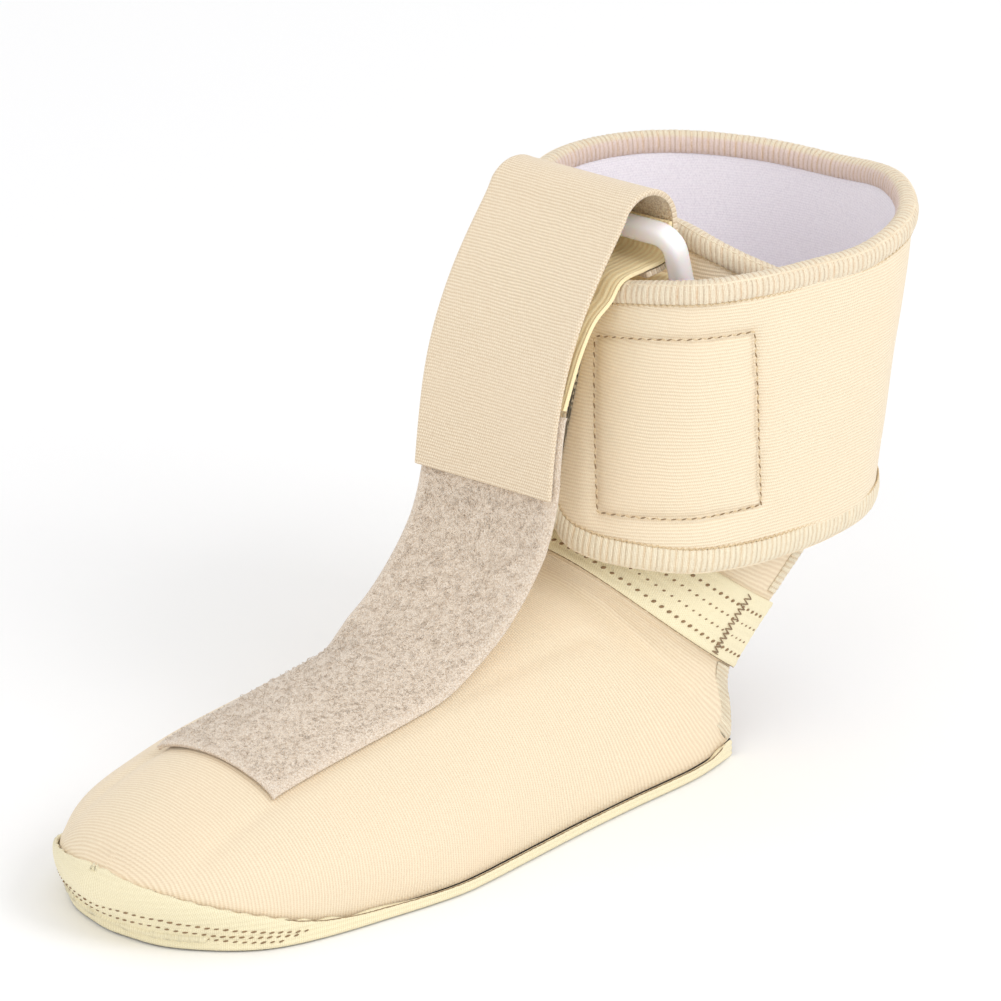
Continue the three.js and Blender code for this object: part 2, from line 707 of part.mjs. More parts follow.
// Soft loop strip: sewn along the instep, then free up to the lift strap
function loopStrip(upper) {
  const depth = STRAP_WALL + GAP + LOOP_WALL + GAP;
  const all = frontWay();
  const tail = beside(all, -depth).slice(0, LOOP_TAIL_POINTS);
  const leaveHeight = heightOn(upper, 0, LOOP_LEAVES_FOOT);
  const free = LOOP_RISE.map(({ along, up }) => flat(
    lerp(LOOP_LEAVES_FOOT, tail[0].y, along),
    lerp(leaveHeight, tail[0].z, up),
  ));
  const sewn = [];
  for (let i = 0; i < LOOP_SEWN_STEPS; i += 1) {
    const along = lerp(LOOP_TOE_END, LOOP_LEAVES_FOOT, i / (LOOP_SEWN_STEPS - 1));
    sewn.push(flat(along, heightOn(upper, 0, along)));
  }
  const path = pathThrough([...sewn, ...free, ...tail]);
  const sections = [];
  for (let c = 0; c <= LOOP_STEPS; c += 1) {
    const point = path.getPointAt(c / LOOP_STEPS);
    const beyond = point.y - LOOP_LEAVES_FOOT;
    const apart = THREE.MathUtils.smoothstep(beyond, -LOOP_PARTING, LOOP_PARTING);
    const rounding = LOOP_CROWN * THREE.MathUtils.clamp(1 - beyond / LOOP_FLATTENS, 0, 1);
    const turn = STRAP_TURN * apart;
    const onFoot = apart < 1 ? acrossFoot(upper, point.y, STRAP_WIDTH / 2) : null;
    const row = [];
    for (let r = 0; r <= LOOP_ROWS; r += 1) {
      const side = LOOP_ROWS / 2 - r;
      const share = Math.abs(side) / (LOOP_ROWS / 2);
      const freeX = (share * STRAP_WIDTH) / 2;
      const sewnX = onFoot ? onFoot[Math.abs(side)].x : freeX;
      const sewnDrop = onFoot ? onFoot[0].y - onFoot[Math.abs(side)].y : 0;
      const drop = lerp(sewnDrop, rounding * share * share, apart);
      const middle = flat(point.y, point.z - drop);
      row.push(turnedPoint(middle, Math.sign(side) * lerp(sewnX, freeX, apart), turn));
    }
    sections.push(row);
  }
  const surface = { points: sections.flat(), faces: gridFaces(LOOP_STEPS, LOOP_ROWS) };
  return mesh('loop_strip', wallOf(surface, LOOP_WALL, GAP), material(0xe2d2b6, 0.98));
}

// Webbing tab over the ring's lower bar, its two plies sewn down on the inner flap
function ringTab() {
  const bar = lowerBar();
  const radius = RING_BAR / 2 + TAB_CLEARANCE + TAB_WALL;
  const flapPlace = placeAtTurn(FLAP_FRONT_TURN);
  const top = cuffPoint(flapPlace, 1).z;
  const bottom = cuffPoint(flapPlace, 0).z;
  const flapAt = (height) => cuffPoint(flapPlace, (height - bottom) / (top - bottom)).y - GAP;
  const plies = TAB_PLY_SHARES.map((share) => {
    const height = bar.z - radius - (TAB_DROP - radius) * share;
    return flat(flapAt(height), height);
  });
  const thick = 2 * TAB_WALL + GAP;
  const front = beside(plies, thick);
  const path = [...front, ...arc(bar, radius, 180 + TAB_WRAP, -TAB_WRAP), ...[...plies].reverse()];
  const line = pathThrough(path);
  const surface = sampleGrid(TAB_STEPS, STRAP_ROWS, (along, across) => {
    const middle = line.getPointAt(along);
    const turn = STRAP_TURN * THREE.MathUtils.smoothstep(middle.z, bar.z - TAB_DROP / 2, bar.z);
    return turnedPoint(middle, TAB_WIDTH * (0.5 - across), turn);
  });
  return mesh('ring_tab', wallOf(surface, TAB_WALL, -TAB_WALL), material(0xead0a0, 0.85));
}

const foot = footColumns();
const upper = footUpper(foot);
upper.updateMatrixWorld(true);
const group = new THREE.Group();
group.add(
  upper,
  sole(foot),
  soleBinding(foot),
  ankleBand(foot),
  cuff(),
  cuffLining(),
  hookPatch(),
  ring(),
  ringTab(),
  liftStrap(),
  liftWebbing(),
  loopStrip(upper),
);
export default group;
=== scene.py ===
"""Dressed model of a foot drop brace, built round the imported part.

Sizes are in millimetres in the part's own frame: toe towards -Y, up +Z, the sole's underside on
Z = 0. A mesh is turned into metres when its object is made.
"""

import enum
import functools
import json
import logging
import math
from dataclasses import dataclass, replace

import bmesh
import bpy
import numpy as np
from mathutils import Matrix, Vector, noise
from mathutils.bvhtree import BVHTree

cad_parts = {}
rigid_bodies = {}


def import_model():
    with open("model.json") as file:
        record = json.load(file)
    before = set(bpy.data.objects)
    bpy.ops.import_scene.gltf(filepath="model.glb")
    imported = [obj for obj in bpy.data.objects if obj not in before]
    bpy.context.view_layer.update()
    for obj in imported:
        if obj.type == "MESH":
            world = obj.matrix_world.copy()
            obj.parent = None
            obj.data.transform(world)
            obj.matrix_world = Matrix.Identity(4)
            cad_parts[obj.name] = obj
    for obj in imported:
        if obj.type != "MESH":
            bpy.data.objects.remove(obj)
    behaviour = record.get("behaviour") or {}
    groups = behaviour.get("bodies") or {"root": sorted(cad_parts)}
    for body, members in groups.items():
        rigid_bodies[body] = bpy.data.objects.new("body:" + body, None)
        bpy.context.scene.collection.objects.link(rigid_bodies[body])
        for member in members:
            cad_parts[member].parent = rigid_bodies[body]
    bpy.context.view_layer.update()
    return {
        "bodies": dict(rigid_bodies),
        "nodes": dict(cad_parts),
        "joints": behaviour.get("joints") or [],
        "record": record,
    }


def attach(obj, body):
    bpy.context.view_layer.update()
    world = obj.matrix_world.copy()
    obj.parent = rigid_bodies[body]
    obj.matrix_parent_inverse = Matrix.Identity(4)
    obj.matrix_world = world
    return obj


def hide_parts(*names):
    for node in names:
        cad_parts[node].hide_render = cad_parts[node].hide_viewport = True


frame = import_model()

LOG = logging.getLogger("brace")
MM = 0.001
CLOTH_MAP = "cloth"
GAP = 0.35
ARC_STEP = 24

# Foot part
TOE_REACH = 91.5
HEEL_REACH = 107.0
BALL_HALF_WIDTH = 46.5
INSTEP_HEIGHT = 61.5
ANKLE_FRONT = 64.0
SOLE_THICKNESS = 3.0
UPPER_STAND = 1.3
UPPER_WALL = 2.6

# Cuff
CUFF_TOP_RADIUS = 52.0
CUFF_BOTTOM_RADIUS = 48.0
CUFF_TOP_CENTRE = 116.0
CUFF_BOTTOM_CENTRE = 112.0
CUFF_BASE_HEIGHT = 60.0
CUFF_HEIGHT = 82.0
FLAP_LIFT = 10.0
CUFF_WALL = 2.8
LINING_WALL = 0.9

# Columns: out, along, up, leanOut, leanAlong, rise, crestAlong, crestUp, spread, turn
STATIONS = np.array([
    [0.000, -0.950, 0.000, 0.000, -0.130, 0.180, -0.950, 0.345, 0.240, 90],
    [0.300, -0.925, 0.000, 0.100, -0.120, 0.200, -0.905, 0.410, 0.253, 60],
    [0.530, -0.855, 0.000, 0.220, -0.100, 0.220, -0.815, 0.485, 0.400, 35],
    [0.750, -0.735, 0.000, 0.260, -0.060, 0.250, -0.665, 0.550, 0.420, 17],
    [0.865, -0.570, 0.000, 0.270, -0.010, 0.280, -0.520, 0.610, 0.450, 6],
    [0.935, -0.340, 0.000, 0.230, 0.000, 0.310, -0.310, 0.665, 0.480, 0],
    [0.985, -0.090, 0.000, 0.170, 0.000, 0.330, -0.070, 0.700, 0.530, 0],
    [0.938, 0.130, 0.000, 0.110, 0.000, 0.360, 0.220, 0.770, 0.537, 0],
    [0.875, 0.355, 0.000, 0.050, -0.010, 0.390, 0.480, 0.845, 0.495, 0],
    [0.827, 0.580, 0.000, -0.011, -0.030, 0.420, 0.680, 0.890, 0.464, 0],
    [0.796, 0.785, 0.000, 0.000, -0.080, 0.440, 0.820, 0.925, 0.443, 0],
    [0.727, 0.920, 0.000, 0.032, -0.140, 0.430, 0.890, 0.950, 0.432, 0],
    [0.643, 1.000, 0.000, 0.105, -0.200, 0.400, 0.940, 0.970, 0.432, 0],
    [0.606, 1.012, 0.140, 0.190, -0.250, 0.360, 0.970, 0.983, 0.443, 0],
    [0.611, 1.010, 0.310, 0.253, -0.280, 0.330, 1.015, 1.000, 0.453, 0],
    [0.664, 1.125, 0.570, 0.232, -0.280, 0.300, 1.235, 1.175, 0.453, 0],
    [0.706, 1.260, 0.820, 0.158, -0.270, 0.200, 1.300, 1.270, 0.443, 0],
    [0.717, 1.325, 0.980, 0.126, -0.270, 0.140, 1.330, 1.330, 0.443, 0],
])

# Columns: turn, top, bottom, topRise, bottomRise, ease
SECTIONS = np.array([
    [7, 0.800, 1.085, -0.90, 1.90, 1.00],
    [13, 0.830, 1.090, -0.62, 0.85, 1.00],
    [22, 0.880, 1.090, -0.35, 0.50, 1.00],
    [36, 0.965, 1.080, -0.10, 0.32, 1.00],
    [52, 1.035, 1.060, 0.05, 0.15, 1.00],
    [70, 1.000, 1.000, 0.05, 0.05, 1.00],
    [90, 0.990, 0.970, 0.00, 0.00, 1.00],
    [110, 1.080, 1.020, 0.00, 0.00, 1.00],
    [130, 1.190, 1.130, 0.28, 0.05, 1.00],
    [155, 1.210, 1.190, 0.42, 0.00, 1.00],
    [180, 1.180, 1.170, 0.12, -0.10, 1.00],
    [205, 1.150, 1.110, 0.15, -0.25, 1.00],
    [235, 1.120, 1.020, 0.25, -0.10, 1.00],
    [262, 1.030, 0.960, 0.30, 0.00, 1.00],
    [282, 0.900, 0.955, 0.25, 0.10, 1.10],
    [297, 0.660, 0.960, 0.30, 0.20, 1.15],
    [314, 0.430, 0.965, 0.38, 0.45, 1.20],
    [335, 0.280, 0.965, 0.45, 0.70, 1.20],
    [360, 0.225, 0.965, 0.50, 0.80, 1.20],
    [385, 0.250, 0.965, 0.48, 0.70, 1.20],
    [405, 0.330, 0.940, 0.40, 0.45, 1.20],
    [422, 0.520, 0.900, 0.25, 0.18, 1.20],
    [440, 0.700, 0.850, -0.25, 0.10, 1.10],
    [452, 0.800, 0.830, -0.70, 0.05, 1.00],
])
LAST_SECTION = len(SECTIONS) - 1


def rows_at(table: np.ndarray, places: np.ndarray) -> np.ndarray:
    """Rows of a table at fractional places, on a smooth curve through the rows.

    Args:
        table: rows of values.
        places: fractional row numbers, in any shape.

    Returns:
        The values, with one more dimension than places.
    """
    last = len(table) - 1
    low = np.clip(np.floor(places).astype(int), 0, last - 1)
    share = (places - low).reshape(places.shape + (1,) * (table.ndim - 1))
    before, start, end, after = (table[np.clip(low + k, 0, last)] for k in (-1, 0, 1, 2))
    leave = (end - before) / 2
    arrive = (after - start) / 2
    square, cube = share**2, share**3
    return (
        (2 * cube - 3 * square + 1) * start
        + (cube - 2 * square + share) * leave
        + (3 * square - 2 * cube) * end
        + (cube - square) * arrive
    )


def unit(vectors: np.ndarray) -> np.ndarray:
    """Vectors along the last axis at length one."""
    return vectors / np.maximum(np.linalg.norm(vectors, axis=-1, keepdims=True), 1e-9)


def smoothstep(value: np.ndarray, low: float, high: float) -> np.ndarray:
    """Smooth change from 0 at low to 1 at high."""
    share = np.clip((value - low) / (high - low), 0, 1)
    return share * share * (3 - 2 * share)


def most_held(*distances: tuple[np.ndarray, float, float]) -> np.ndarray:
    """How firmly seams hold a sheet.

    Args:
        distances: for each seam its distance, the one up to which it holds and the one where it ends.

    Returns:
        From 0, free, to 1, fixed.
    """
    holds = [1 - smoothstep(distance, full, none) for distance, full, none in distances]
    return functools.reduce(np.maximum, holds)


def normals_of(points: np.ndarray) -> np.ndarray:
    """Directions out of a grid of points: along the first axis cross along the second."""
    return unit(np.cross(np.gradient(points, axis=0), np.gradient(points, axis=1)))


def lengths_along(points: np.ndarray, axis: int = 0) -> np.ndarray:
    """Length along one axis of a grid of points, from its first row.

    Args:
        points: the line or grid.
        axis: the axis that is followed.

    Returns:
        The lengths, with one dimension less than points.
    """
    steps = np.linalg.norm(np.diff(points, axis=axis), axis=-1)
    pad = [(0, 0)] * steps.ndim
    pad[axis] = (1, 0)
    return np.cumsum(np.pad(steps, pad), axis=axis)


def read_along(line: np.ndarray, where: np.ndarray, values: np.ndarray) -> np.ndarray:
    """Points or directions given along a line, read at lengths of it.

    Args:
        line: the line's points.
        where: lengths from its start.
        values: one row of values for each point of the line.

    Returns:
        One row of values for each length.
    """
    lengths = lengths_along(line)
    return np.stack([np.interp(where, lengths, values[:, k]) for k in range(values.shape[1])], -1)


def read_between(grid: np.ndarray, rows: np.ndarray, columns: np.ndarray) -> np.ndarray:
    """Points or directions of a grid, read between its lines.

    Args:
        grid: the grid.
        rows: fractional row numbers.
        columns: fractional column numbers, one for each row number.

    Returns:
        One row of values for each pair.
    """
    i, j = rows.astype(int), columns.astype(int)
    u, v = (rows - i)[:, None], (columns - j)[:, None]
    return (
        grid[i, j] * (1 - u) * (1 - v) + grid[i + 1, j] * u * (1 - v)
        + grid[i, j + 1] * (1 - u) * v + grid[i + 1, j + 1] * u * v
    )


def sway(points: np.ndarray, height: float, scale: float, seed: float) -> np.ndarray:
    """Smooth unevenness of a surface.

    Args:
        points: places in millimetres.
        height: the most, to both sides.
        scale: about how wide one rise is, in millimetres.
        seed: shift of the noise.

    Returns:
        One value from -height to height for each point.
    """
    flat = points.reshape(-1, 3) / scale + seed
    values = [noise.noise(Vector(p)) for p in flat]
    return height * np.array(values).reshape(points.shape[:-1])


def softened(values: np.ndarray, width: int) -> np.ndarray:
    """A grid of points or directions, averaged along its first axis.

    Args:
        values: the grid.
        width: how many rows are averaged, an odd number.

    Returns:
        The averaged grid, of the same shape.
    """
    weights = np.hanning(width + 2)[1:-1]
    padded = np.pad(values, ((width // 2, width // 2), (0, 0), (0, 0)), mode="edge")
    rows = len(values)
    return sum(share * padded[k : k + rows] for k, share in enumerate(weights / weights.sum()))


class FootForm:
    """Outer surface of the foot part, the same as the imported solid's."""

    STEPS = 2
    ROWS = 10
    PASSES = 6
    HELD = 28
    RELAXED_SHARE = 0.5

    def __init__(self) -> None:
        """Works out the relaxed grid of points."""
        last = self.STEPS * (len(STATIONS) - 1)
        places = np.arange(last + 1) / self.STEPS
        across = np.arange(self.ROWS + 1) / self.ROWS
        half = self._plain(places, across)
        for _ in range(self.PASSES):
            half = self._relaxed(half)
        other = half[:, -2::-1] * np.array([-1.0, 1.0, 1.0])
        grid = np.concatenate([half, other], axis=1)
        self.grid = np.concatenate([grid[1:2, ::-1], grid])
        self.last = last

    @staticmethod
    def _crest(places: np.ndarray) -> np.ndarray:
        """Points of the crest line.

        Args:
            places: fractional numbers of stations.

        Returns:
            One point for each place.
        """
        rows = rows_at(STATIONS, places)
        along = rows[..., 6] * np.where(rows[..., 6] < 0, TOE_REACH, ANKLE_FRONT)
        return np.stack([0 * along, along, rows[..., 7] * INSTEP_HEIGHT], -1)

    def _plain(self, places: np.ndarray, across: np.ndarray) -> np.ndarray:
        """Points of the right half before it is relaxed.

        Args:
            places: fractional numbers of stations, toe to shin.
            across: shares of the way from the edge to the crest.

        Returns:
            Points, places by across.
        """
        rows = rows_at(STATIONS, places)
        edge = np.stack([
            rows[:, 0] * BALL_HALF_WIDTH,
            rows[:, 1] * np.where(rows[:, 1] < 0, TOE_REACH, HEEL_REACH),
            SOLE_THICKNESS + UPPER_STAND + rows[:, 2] * INSTEP_HEIGHT,
        ], -1)
        lean = np.array([BALL_HALF_WIDTH, HEEL_REACH, INSTEP_HEIGHT])
        handle = edge + rows[:, 3:6] * lean
        crest = self._crest(places)
        near = np.minimum(places, len(STATIONS) - 2)
        along = unit(self._crest(near + 1) - self._crest(near))
        turn = np.radians(rows[:, 9])[:, None]
        spread = rows[:, 8:9] * BALL_HALF_WIDTH
        top = crest + spread * (np.cos(turn) * np.array([1.0, 0, 0]) - np.sin(turn) * along)
        t = across[None, :, None]
        first, second, third, fourth = (p[:, None, :] for p in (edge, handle, top, crest))
        points = (
            (1 - t)**3 * first + 3 * (1 - t)**2 * t * second
            + 3 * (1 - t) * t**2 * third + t**3 * fourth
        )
        points[0, :, 0] = 0
        points[:, -1, 0] = 0
        return points

    def _relaxed(self, half: np.ndarray) -> np.ndarray:
        """One pass that moves the points in front of the band towards their neighbours' mean.

        Args:
            half: points of the right half.

        Returns:
            The moved points.
        """
        mirror = np.array([-1.0, 1.0, 1.0])
        before = np.concatenate([half[1:2] * mirror, half[:-1]])
        after = np.concatenate([half[1:], half[-1:]])
        inner = np.concatenate([half[:, 1:], half[:, -2:-1] * mirror], axis=1)
        outer = np.concatenate([half[:, :1], half[:, :-1]], axis=1)
        mean = (before + after + inner + outer) / 4
        moved = half + self.RELAXED_SHARE * (mean - half)
        moved[self.HELD:] = half[self.HELD:]
        moved[:, 0] = half[:, 0]
        return moved

    def at(self, columns: np.ndarray, rows: np.ndarray) -> np.ndarray:
        """Points at every pair of a column and a row.

        Args:
            columns: from 0, the toe, to 34, the shin.
            rows: from 0, the right edge, to 20, the left one.

        Returns:
            Points, columns by rows.
        """
        lines = rows_at(self.grid, columns + 1)
        return np.swapaxes(rows_at(np.swapaxes(lines, 0, 1), rows), 0, 1)

    def at_pairs(self, columns: np.ndarray, rows: np.ndarray) -> np.ndarray:
        """Points at matching pairs of a column and a row.

        Args:
            columns: one column for each pair.
            rows: one row for each pair.

        Returns:
            One point for each pair.
        """
        lines = rows_at(self.grid, columns + 1)
        picked = [rows_at(line, np.array([row]))[0] for line, row in zip(lines, rows)]
        return np.array(picked)


class CuffForm:
    """Outer surface of the cuff band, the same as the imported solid's."""

    STEP = 0.02

    @staticmethod
    def at(place: np.ndarray, up: np.ndarray) -> np.ndarray:
        """Points of the band.

        Args:
            place: fractional numbers of sections, from the outer flap to the inner one.
            up: from 0, the lower rim, to 1, the upper one.

        Returns:
            One point for each pair.
        """
        place, up = np.broadcast_arrays(np.asarray(place, float), np.asarray(up, float))
        rows = rows_at(SECTIONS, place)
        turn = np.radians(rows[..., 0])
        bottom = rows[..., 2] * CUFF_BOTTOM_RADIUS
        top = rows[..., 1] * CUFF_TOP_RADIUS
        distance = bottom + (top - bottom) * np.maximum(up, 0) ** rows[..., 5]
        low = CUFF_BASE_HEIGHT + rows[..., 4] * FLAP_LIFT
        high = CUFF_BASE_HEIGHT + CUFF_HEIGHT + rows[..., 3] * FLAP_LIFT
        centre = CUFF_BOTTOM_CENTRE + (CUFF_TOP_CENTRE - CUFF_BOTTOM_CENTRE) * up
        return np.stack([
            distance * np.sin(turn),
            centre - distance * np.cos(turn),
            low + (high - low) * up,
        ], -1)

    @classmethod
    def normals(cls, place: np.ndarray, up: np.ndarray) -> np.ndarray:
        """Directions out of the band.

        Args:
            place: as for at.
            up: as for at.

        Returns:
            One direction for each pair.
        """
        step = cls.STEP
        along = cls.at(place + step, up) - cls.at(place - step, up)
        rise = cls.at(place, np.asarray(up) + step) - cls.at(place, np.maximum(up - step, 0))
        return unit(np.cross(along, rise))


class Path:
    """Smooth line through points (along, height) in the plane X = 0, measured by its length."""

    SAMPLES = 24

    def __init__(self, points: list[np.ndarray]) -> None:
        """Samples the line closely.

        Args:
            points: the knots, as (along, height).
        """
        knots = np.array(points, float)
        ends = (2 * knots[:1] - knots[1:2], 2 * knots[-1:] - knots[-2:-1])
        knots = np.concatenate([ends[0], knots, ends[1]])
        share = np.linspace(0, 1, self.SAMPLES, endpoint=False)[:, None]
        pieces = []
        for p0, p1, p2, p3 in zip(knots, knots[1:], knots[2:], knots[3:]):
            first, middle, last = (
                max(np.linalg.norm(b - a) ** 0.5, 1e-3) for a, b in ((p0, p1), (p1, p2), (p2, p3))
            )
            leave = (p1 - p0) / first - (p2 - p0) / (first + middle) + (p2 - p1) / middle
            arrive = (p2 - p1) / middle - (p3 - p1) / (middle + last) + (p3 - p2) / last
            leave, arrive = leave * middle, arrive * middle
            pieces.append(
                (2 * share**3 - 3 * share**2 + 1) * p1 + (share**3 - 2 * share**2 + share) * leave
                + (3 * share**2 - 2 * share**3) * p2 + (share**3 - share**2) * arrive
            )
        self.line = np.concatenate([*pieces, knots[-2:-1]])
        self.lengths = lengths_along(self.line)
        self.length = float(self.lengths[-1])

    def at(self, shares: np.ndarray) -> np.ndarray:
        """Points (along, height) at shares of the length."""
        where = np.asarray(shares) * self.length
        return np.stack([np.interp(where, self.lengths, self.line[:, k]) for k in (0, 1)], -1)


def beside(points: np.ndarray, distance: float) -> np.ndarray:
    """A line of points moved sideways, towards the outer side of a strap on it.

    Args:
        points: the line, as (along, height).
        distance: how far, in millimetres.

    Returns:
        The moved line.
    """
    before = np.concatenate([points[:1], points[:-1]])
    after = np.concatenate([points[1:], points[-1:]])
    way = unit(after - before)
    return points + distance * np.stack([-way[:, 1], way[:, 0]], -1)


def arc(centre: np.ndarray, radius: float, start: float, end: float) -> np.ndarray:
    """Points on a circle in the plane X = 0.

    Args:
        centre: its centre, as (along, height).
        radius: its radius.
        start: the first point's angle from +Y, in degrees.
        end: the last point's angle.

    Returns:
        Points at most ARC_STEP degrees apart.
    """
    turns = np.radians(np.linspace(start, end, math.ceil(abs(end - start) / ARC_STEP) + 1))
    return centre + radius * np.stack([np.cos(turns), np.sin(turns)], -1)


class StrapForm:
    """Middle lines of the straps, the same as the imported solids'."""

    WIDTH = 45.0
    TURN = math.radians(8)
    STRAP_WALL = 1.5
    WEBBING_WALL = 1.4
    TAB_WALL = 1.4
    TAB_WIDTH = 42.0
    TAB_DROP = 22.0
    TAB_WRAP = 10.0
    TAB_CLEARANCE = 0.6
    LOOP_WALL = 2.0
    RING_BAR = 5.8
    RING_OPENING_WIDTH = 47.0
    RING_OPENING_HEIGHT = 13.5
    RING_CORNER = 5.0
    RING_LEAN = math.radians(17)
    RING_BEFORE_FLAP = 20.6
    RING_ABOVE_FLAP = 3.0
    FOLD_STAND = 2.3
    FOLD_RADIUS = 10.5
    BOW = 6.5
    END = np.array([43.6, 86.0])
    FLAP_PLACE = 18.0
    STRIP_START = -51.0
    LEAVES_FOOT = 12.0
    FREE_WAY = ((0.44, 0.20), (0.85, 0.60))
    RETURN_WAY = (
        (1.00, 1.00), (0.94, 0.925), (0.75, 0.895), (0.53, 0.86),
        (0.43, 0.74), (0.28, 0.62), (0.16, 0.42),
    )

    def __init__(self) -> None:
        """Settles the ring's top bar and the centre of the strap's fold."""
        rim = CuffForm.at(self.FLAP_PLACE, 1.0)
        self.ring_top = np.array([rim[1] - self.RING_BEFORE_FLAP, rim[2] + self.RING_ABOVE_FLAP])
        outer = self.RING_BAR / 2 + GAP + self.WEBBING_WALL + GAP + self.STRAP_WALL
        self.fold = self.ring_top + np.array([outer - self.FOLD_RADIUS, self.FOLD_STAND])

    def front(self, start: float = 0.0) -> np.ndarray:
        """Outer face of the front ply.

        Args:
            start: the share of its length at which it starts.

        Returns:
            Eleven points up to the fold.
        """
        reach = self.fold - self.END
        lean = math.atan2(reach[1], reach[0])
        half = math.asin(self.FOLD_RADIUS / np.linalg.norm(reach))
        turn = lean + half + math.pi / 2
        high = self.fold + self.FOLD_RADIUS * np.array([math.cos(turn), math.sin(turn)])
        way = unit(high - self.END)
        share = np.linspace(start, 1, 11)[:, None]
        bow = self.BOW * np.sin(np.pi * share) * np.array([-way[1], way[0]])
        return self.END + (high - self.END) * share + bow

    def back(self) -> np.ndarray:
        """Way of the straps back through the ring and down to the loop strip.

        Returns:
            Points as (along, height).
        """
        behind = self.ring_top[0] + self.RING_BAR / 2 + GAP + self.WEBBING_WALL + GAP / 2
        seat = self.STRAP_WALL + GAP + self.WEBBING_WALL + GAP / 2
        low = beside(self.front(0.32)[:2], -seat)[0]
        high = np.array([behind, self.ring_top[1] - self.RING_BAR])
        between = [low + (high - low) * np.array(shares) for shares in self.RETURN_WAY]
        return np.array([[behind, self.ring_top[1] + self.FOLD_STAND], *between, low])

    def lift_path(self) -> Path:
        """Outer face of the lift strap.

        Returns:
            The line from its free end over the fold and back.
        """
        front = self.front()
        top = front[-1] - self.fold
        start = math.degrees(math.atan2(top[1], top[0]))
        over = arc(self.fold, self.FOLD_RADIUS, start, 0)[1:]
        rear = beside(self.back(), GAP / 2 + self.STRAP_WALL)[1:4]
        return Path([*front, *over, *rear])

    def tab_path(self) -> Path:
        """Outer face of the webbing tab over the ring's lower bar, whose middle is kept as bar.

        Returns:
            The line down in front of the flap's ply, round the bar and back.
        """
        drop = self.RING_OPENING_HEIGHT + self.RING_BAR
        lean = np.array([math.sin(self.RING_LEAN), -math.cos(self.RING_LEAN)])
        bar = self.ring_top + drop * lean
        radius = self.RING_BAR / 2 + self.TAB_CLEARANCE + self.TAB_WALL
        bottom, top = (CuffForm.at(self.FLAP_PLACE, up)[2] for up in (0.0, 1.0))
        plies = []
        for share in (1, 0.5, 0.25):
            height = bar[1] - radius - (self.TAB_DROP - radius) * share
            flap = CuffForm.at(self.FLAP_PLACE, (height - bottom) / (top - bottom))
            plies.append([flap[1] - GAP, height])
        plies = np.array(plies)
        front = beside(plies, 2 * self.TAB_WALL + GAP)
        around = arc(bar, radius, 180 + self.TAB_WRAP, -self.TAB_WRAP)
        self.bar = bar
        return Path([*front, *around, *plies[::-1]])

    def loop_path(self, height_on: "HeightOn") -> Path:
        """Middle line of the loop strip, on the instep and then free up to the lift strap.

        Args:
            height_on: the foot part's height above a place.

        Returns:
            The line, toe to strap.
        """
        depth = self.STRAP_WALL + GAP + self.LOOP_WALL + GAP
        tail = beside(self.front(), -depth)[:4]
        leave = np.array([self.LEAVES_FOOT, height_on(0.0, self.LEAVES_FOOT)])
        free = [leave + (tail[0] - leave) * np.array(shares) for shares in self.FREE_WAY]
        places = np.linspace(self.STRIP_START, self.LEAVES_FOOT, 7)
        sewn = [(along, height_on(0.0, along)) for along in places]
        return Path([*sewn, *free, *tail])


class HeightOn:
    """Height of the foot part's outer face above a place."""

    ABOVE = 0.3

    def __init__(self, surface: bpy.types.Object) -> None:
        """Prepares the surface for rays.

        Args:
            surface: the foot part's upper.
        """
        form = bmesh.new()
        form.from_mesh(surface.data)
        self.tree = BVHTree.FromBMesh(form)
        form.free()

    def __call__(self, x: float, along: float) -> float:
        """Height in millimetres at a place in millimetres."""
        hit = self.tree.ray_cast(Vector((x * MM, along * MM, self.ABOVE)), Vector((0, 0, -1)))[0]
        return hit.z / MM


def object_from(name: str, mesh: bpy.types.Mesh) -> bpy.types.Object:
    """Makes a smooth-shaded object.

    Args:
        name: its name.
        mesh: its mesh.

    Returns:
        The object, in the scene.
    """
    mesh.shade_smooth()
    piece = bpy.data.objects.new(name, mesh)
    bpy.context.collection.objects.link(piece)
    return piece


def grid_mesh(name: str, points: np.ndarray) -> tuple[bpy.types.Mesh, np.ndarray, np.ndarray]:
    """A mesh of faces laid over a grid of points.

    Args:
        name: the mesh's name.
        points: places in the scene's unit, along by across.

    Returns:
        The mesh, and for each of its vertices the point's place along and across the grid.
    """
    along, across = points.shape[:2]
    form = bmesh.new()
    bmesh.ops.create_grid(form, x_segments=along - 1, y_segments=across - 1, size=1.0)
    mesh = bpy.data.meshes.new(name)
    form.to_mesh(mesh)
    form.free()
    flat = np.zeros(len(mesh.vertices) * 3)
    mesh.vertices.foreach_get("co", flat)
    flat = flat.reshape(-1, 3)
    i = np.rint((flat[:, 0] + 1) / 2 * (along - 1)).astype(int)
    j = np.rint((flat[:, 1] + 1) / 2 * (across - 1)).astype(int)
    mesh.vertices.foreach_set("co", points[i, j].ravel())
    mesh.update()
    return mesh, i, j


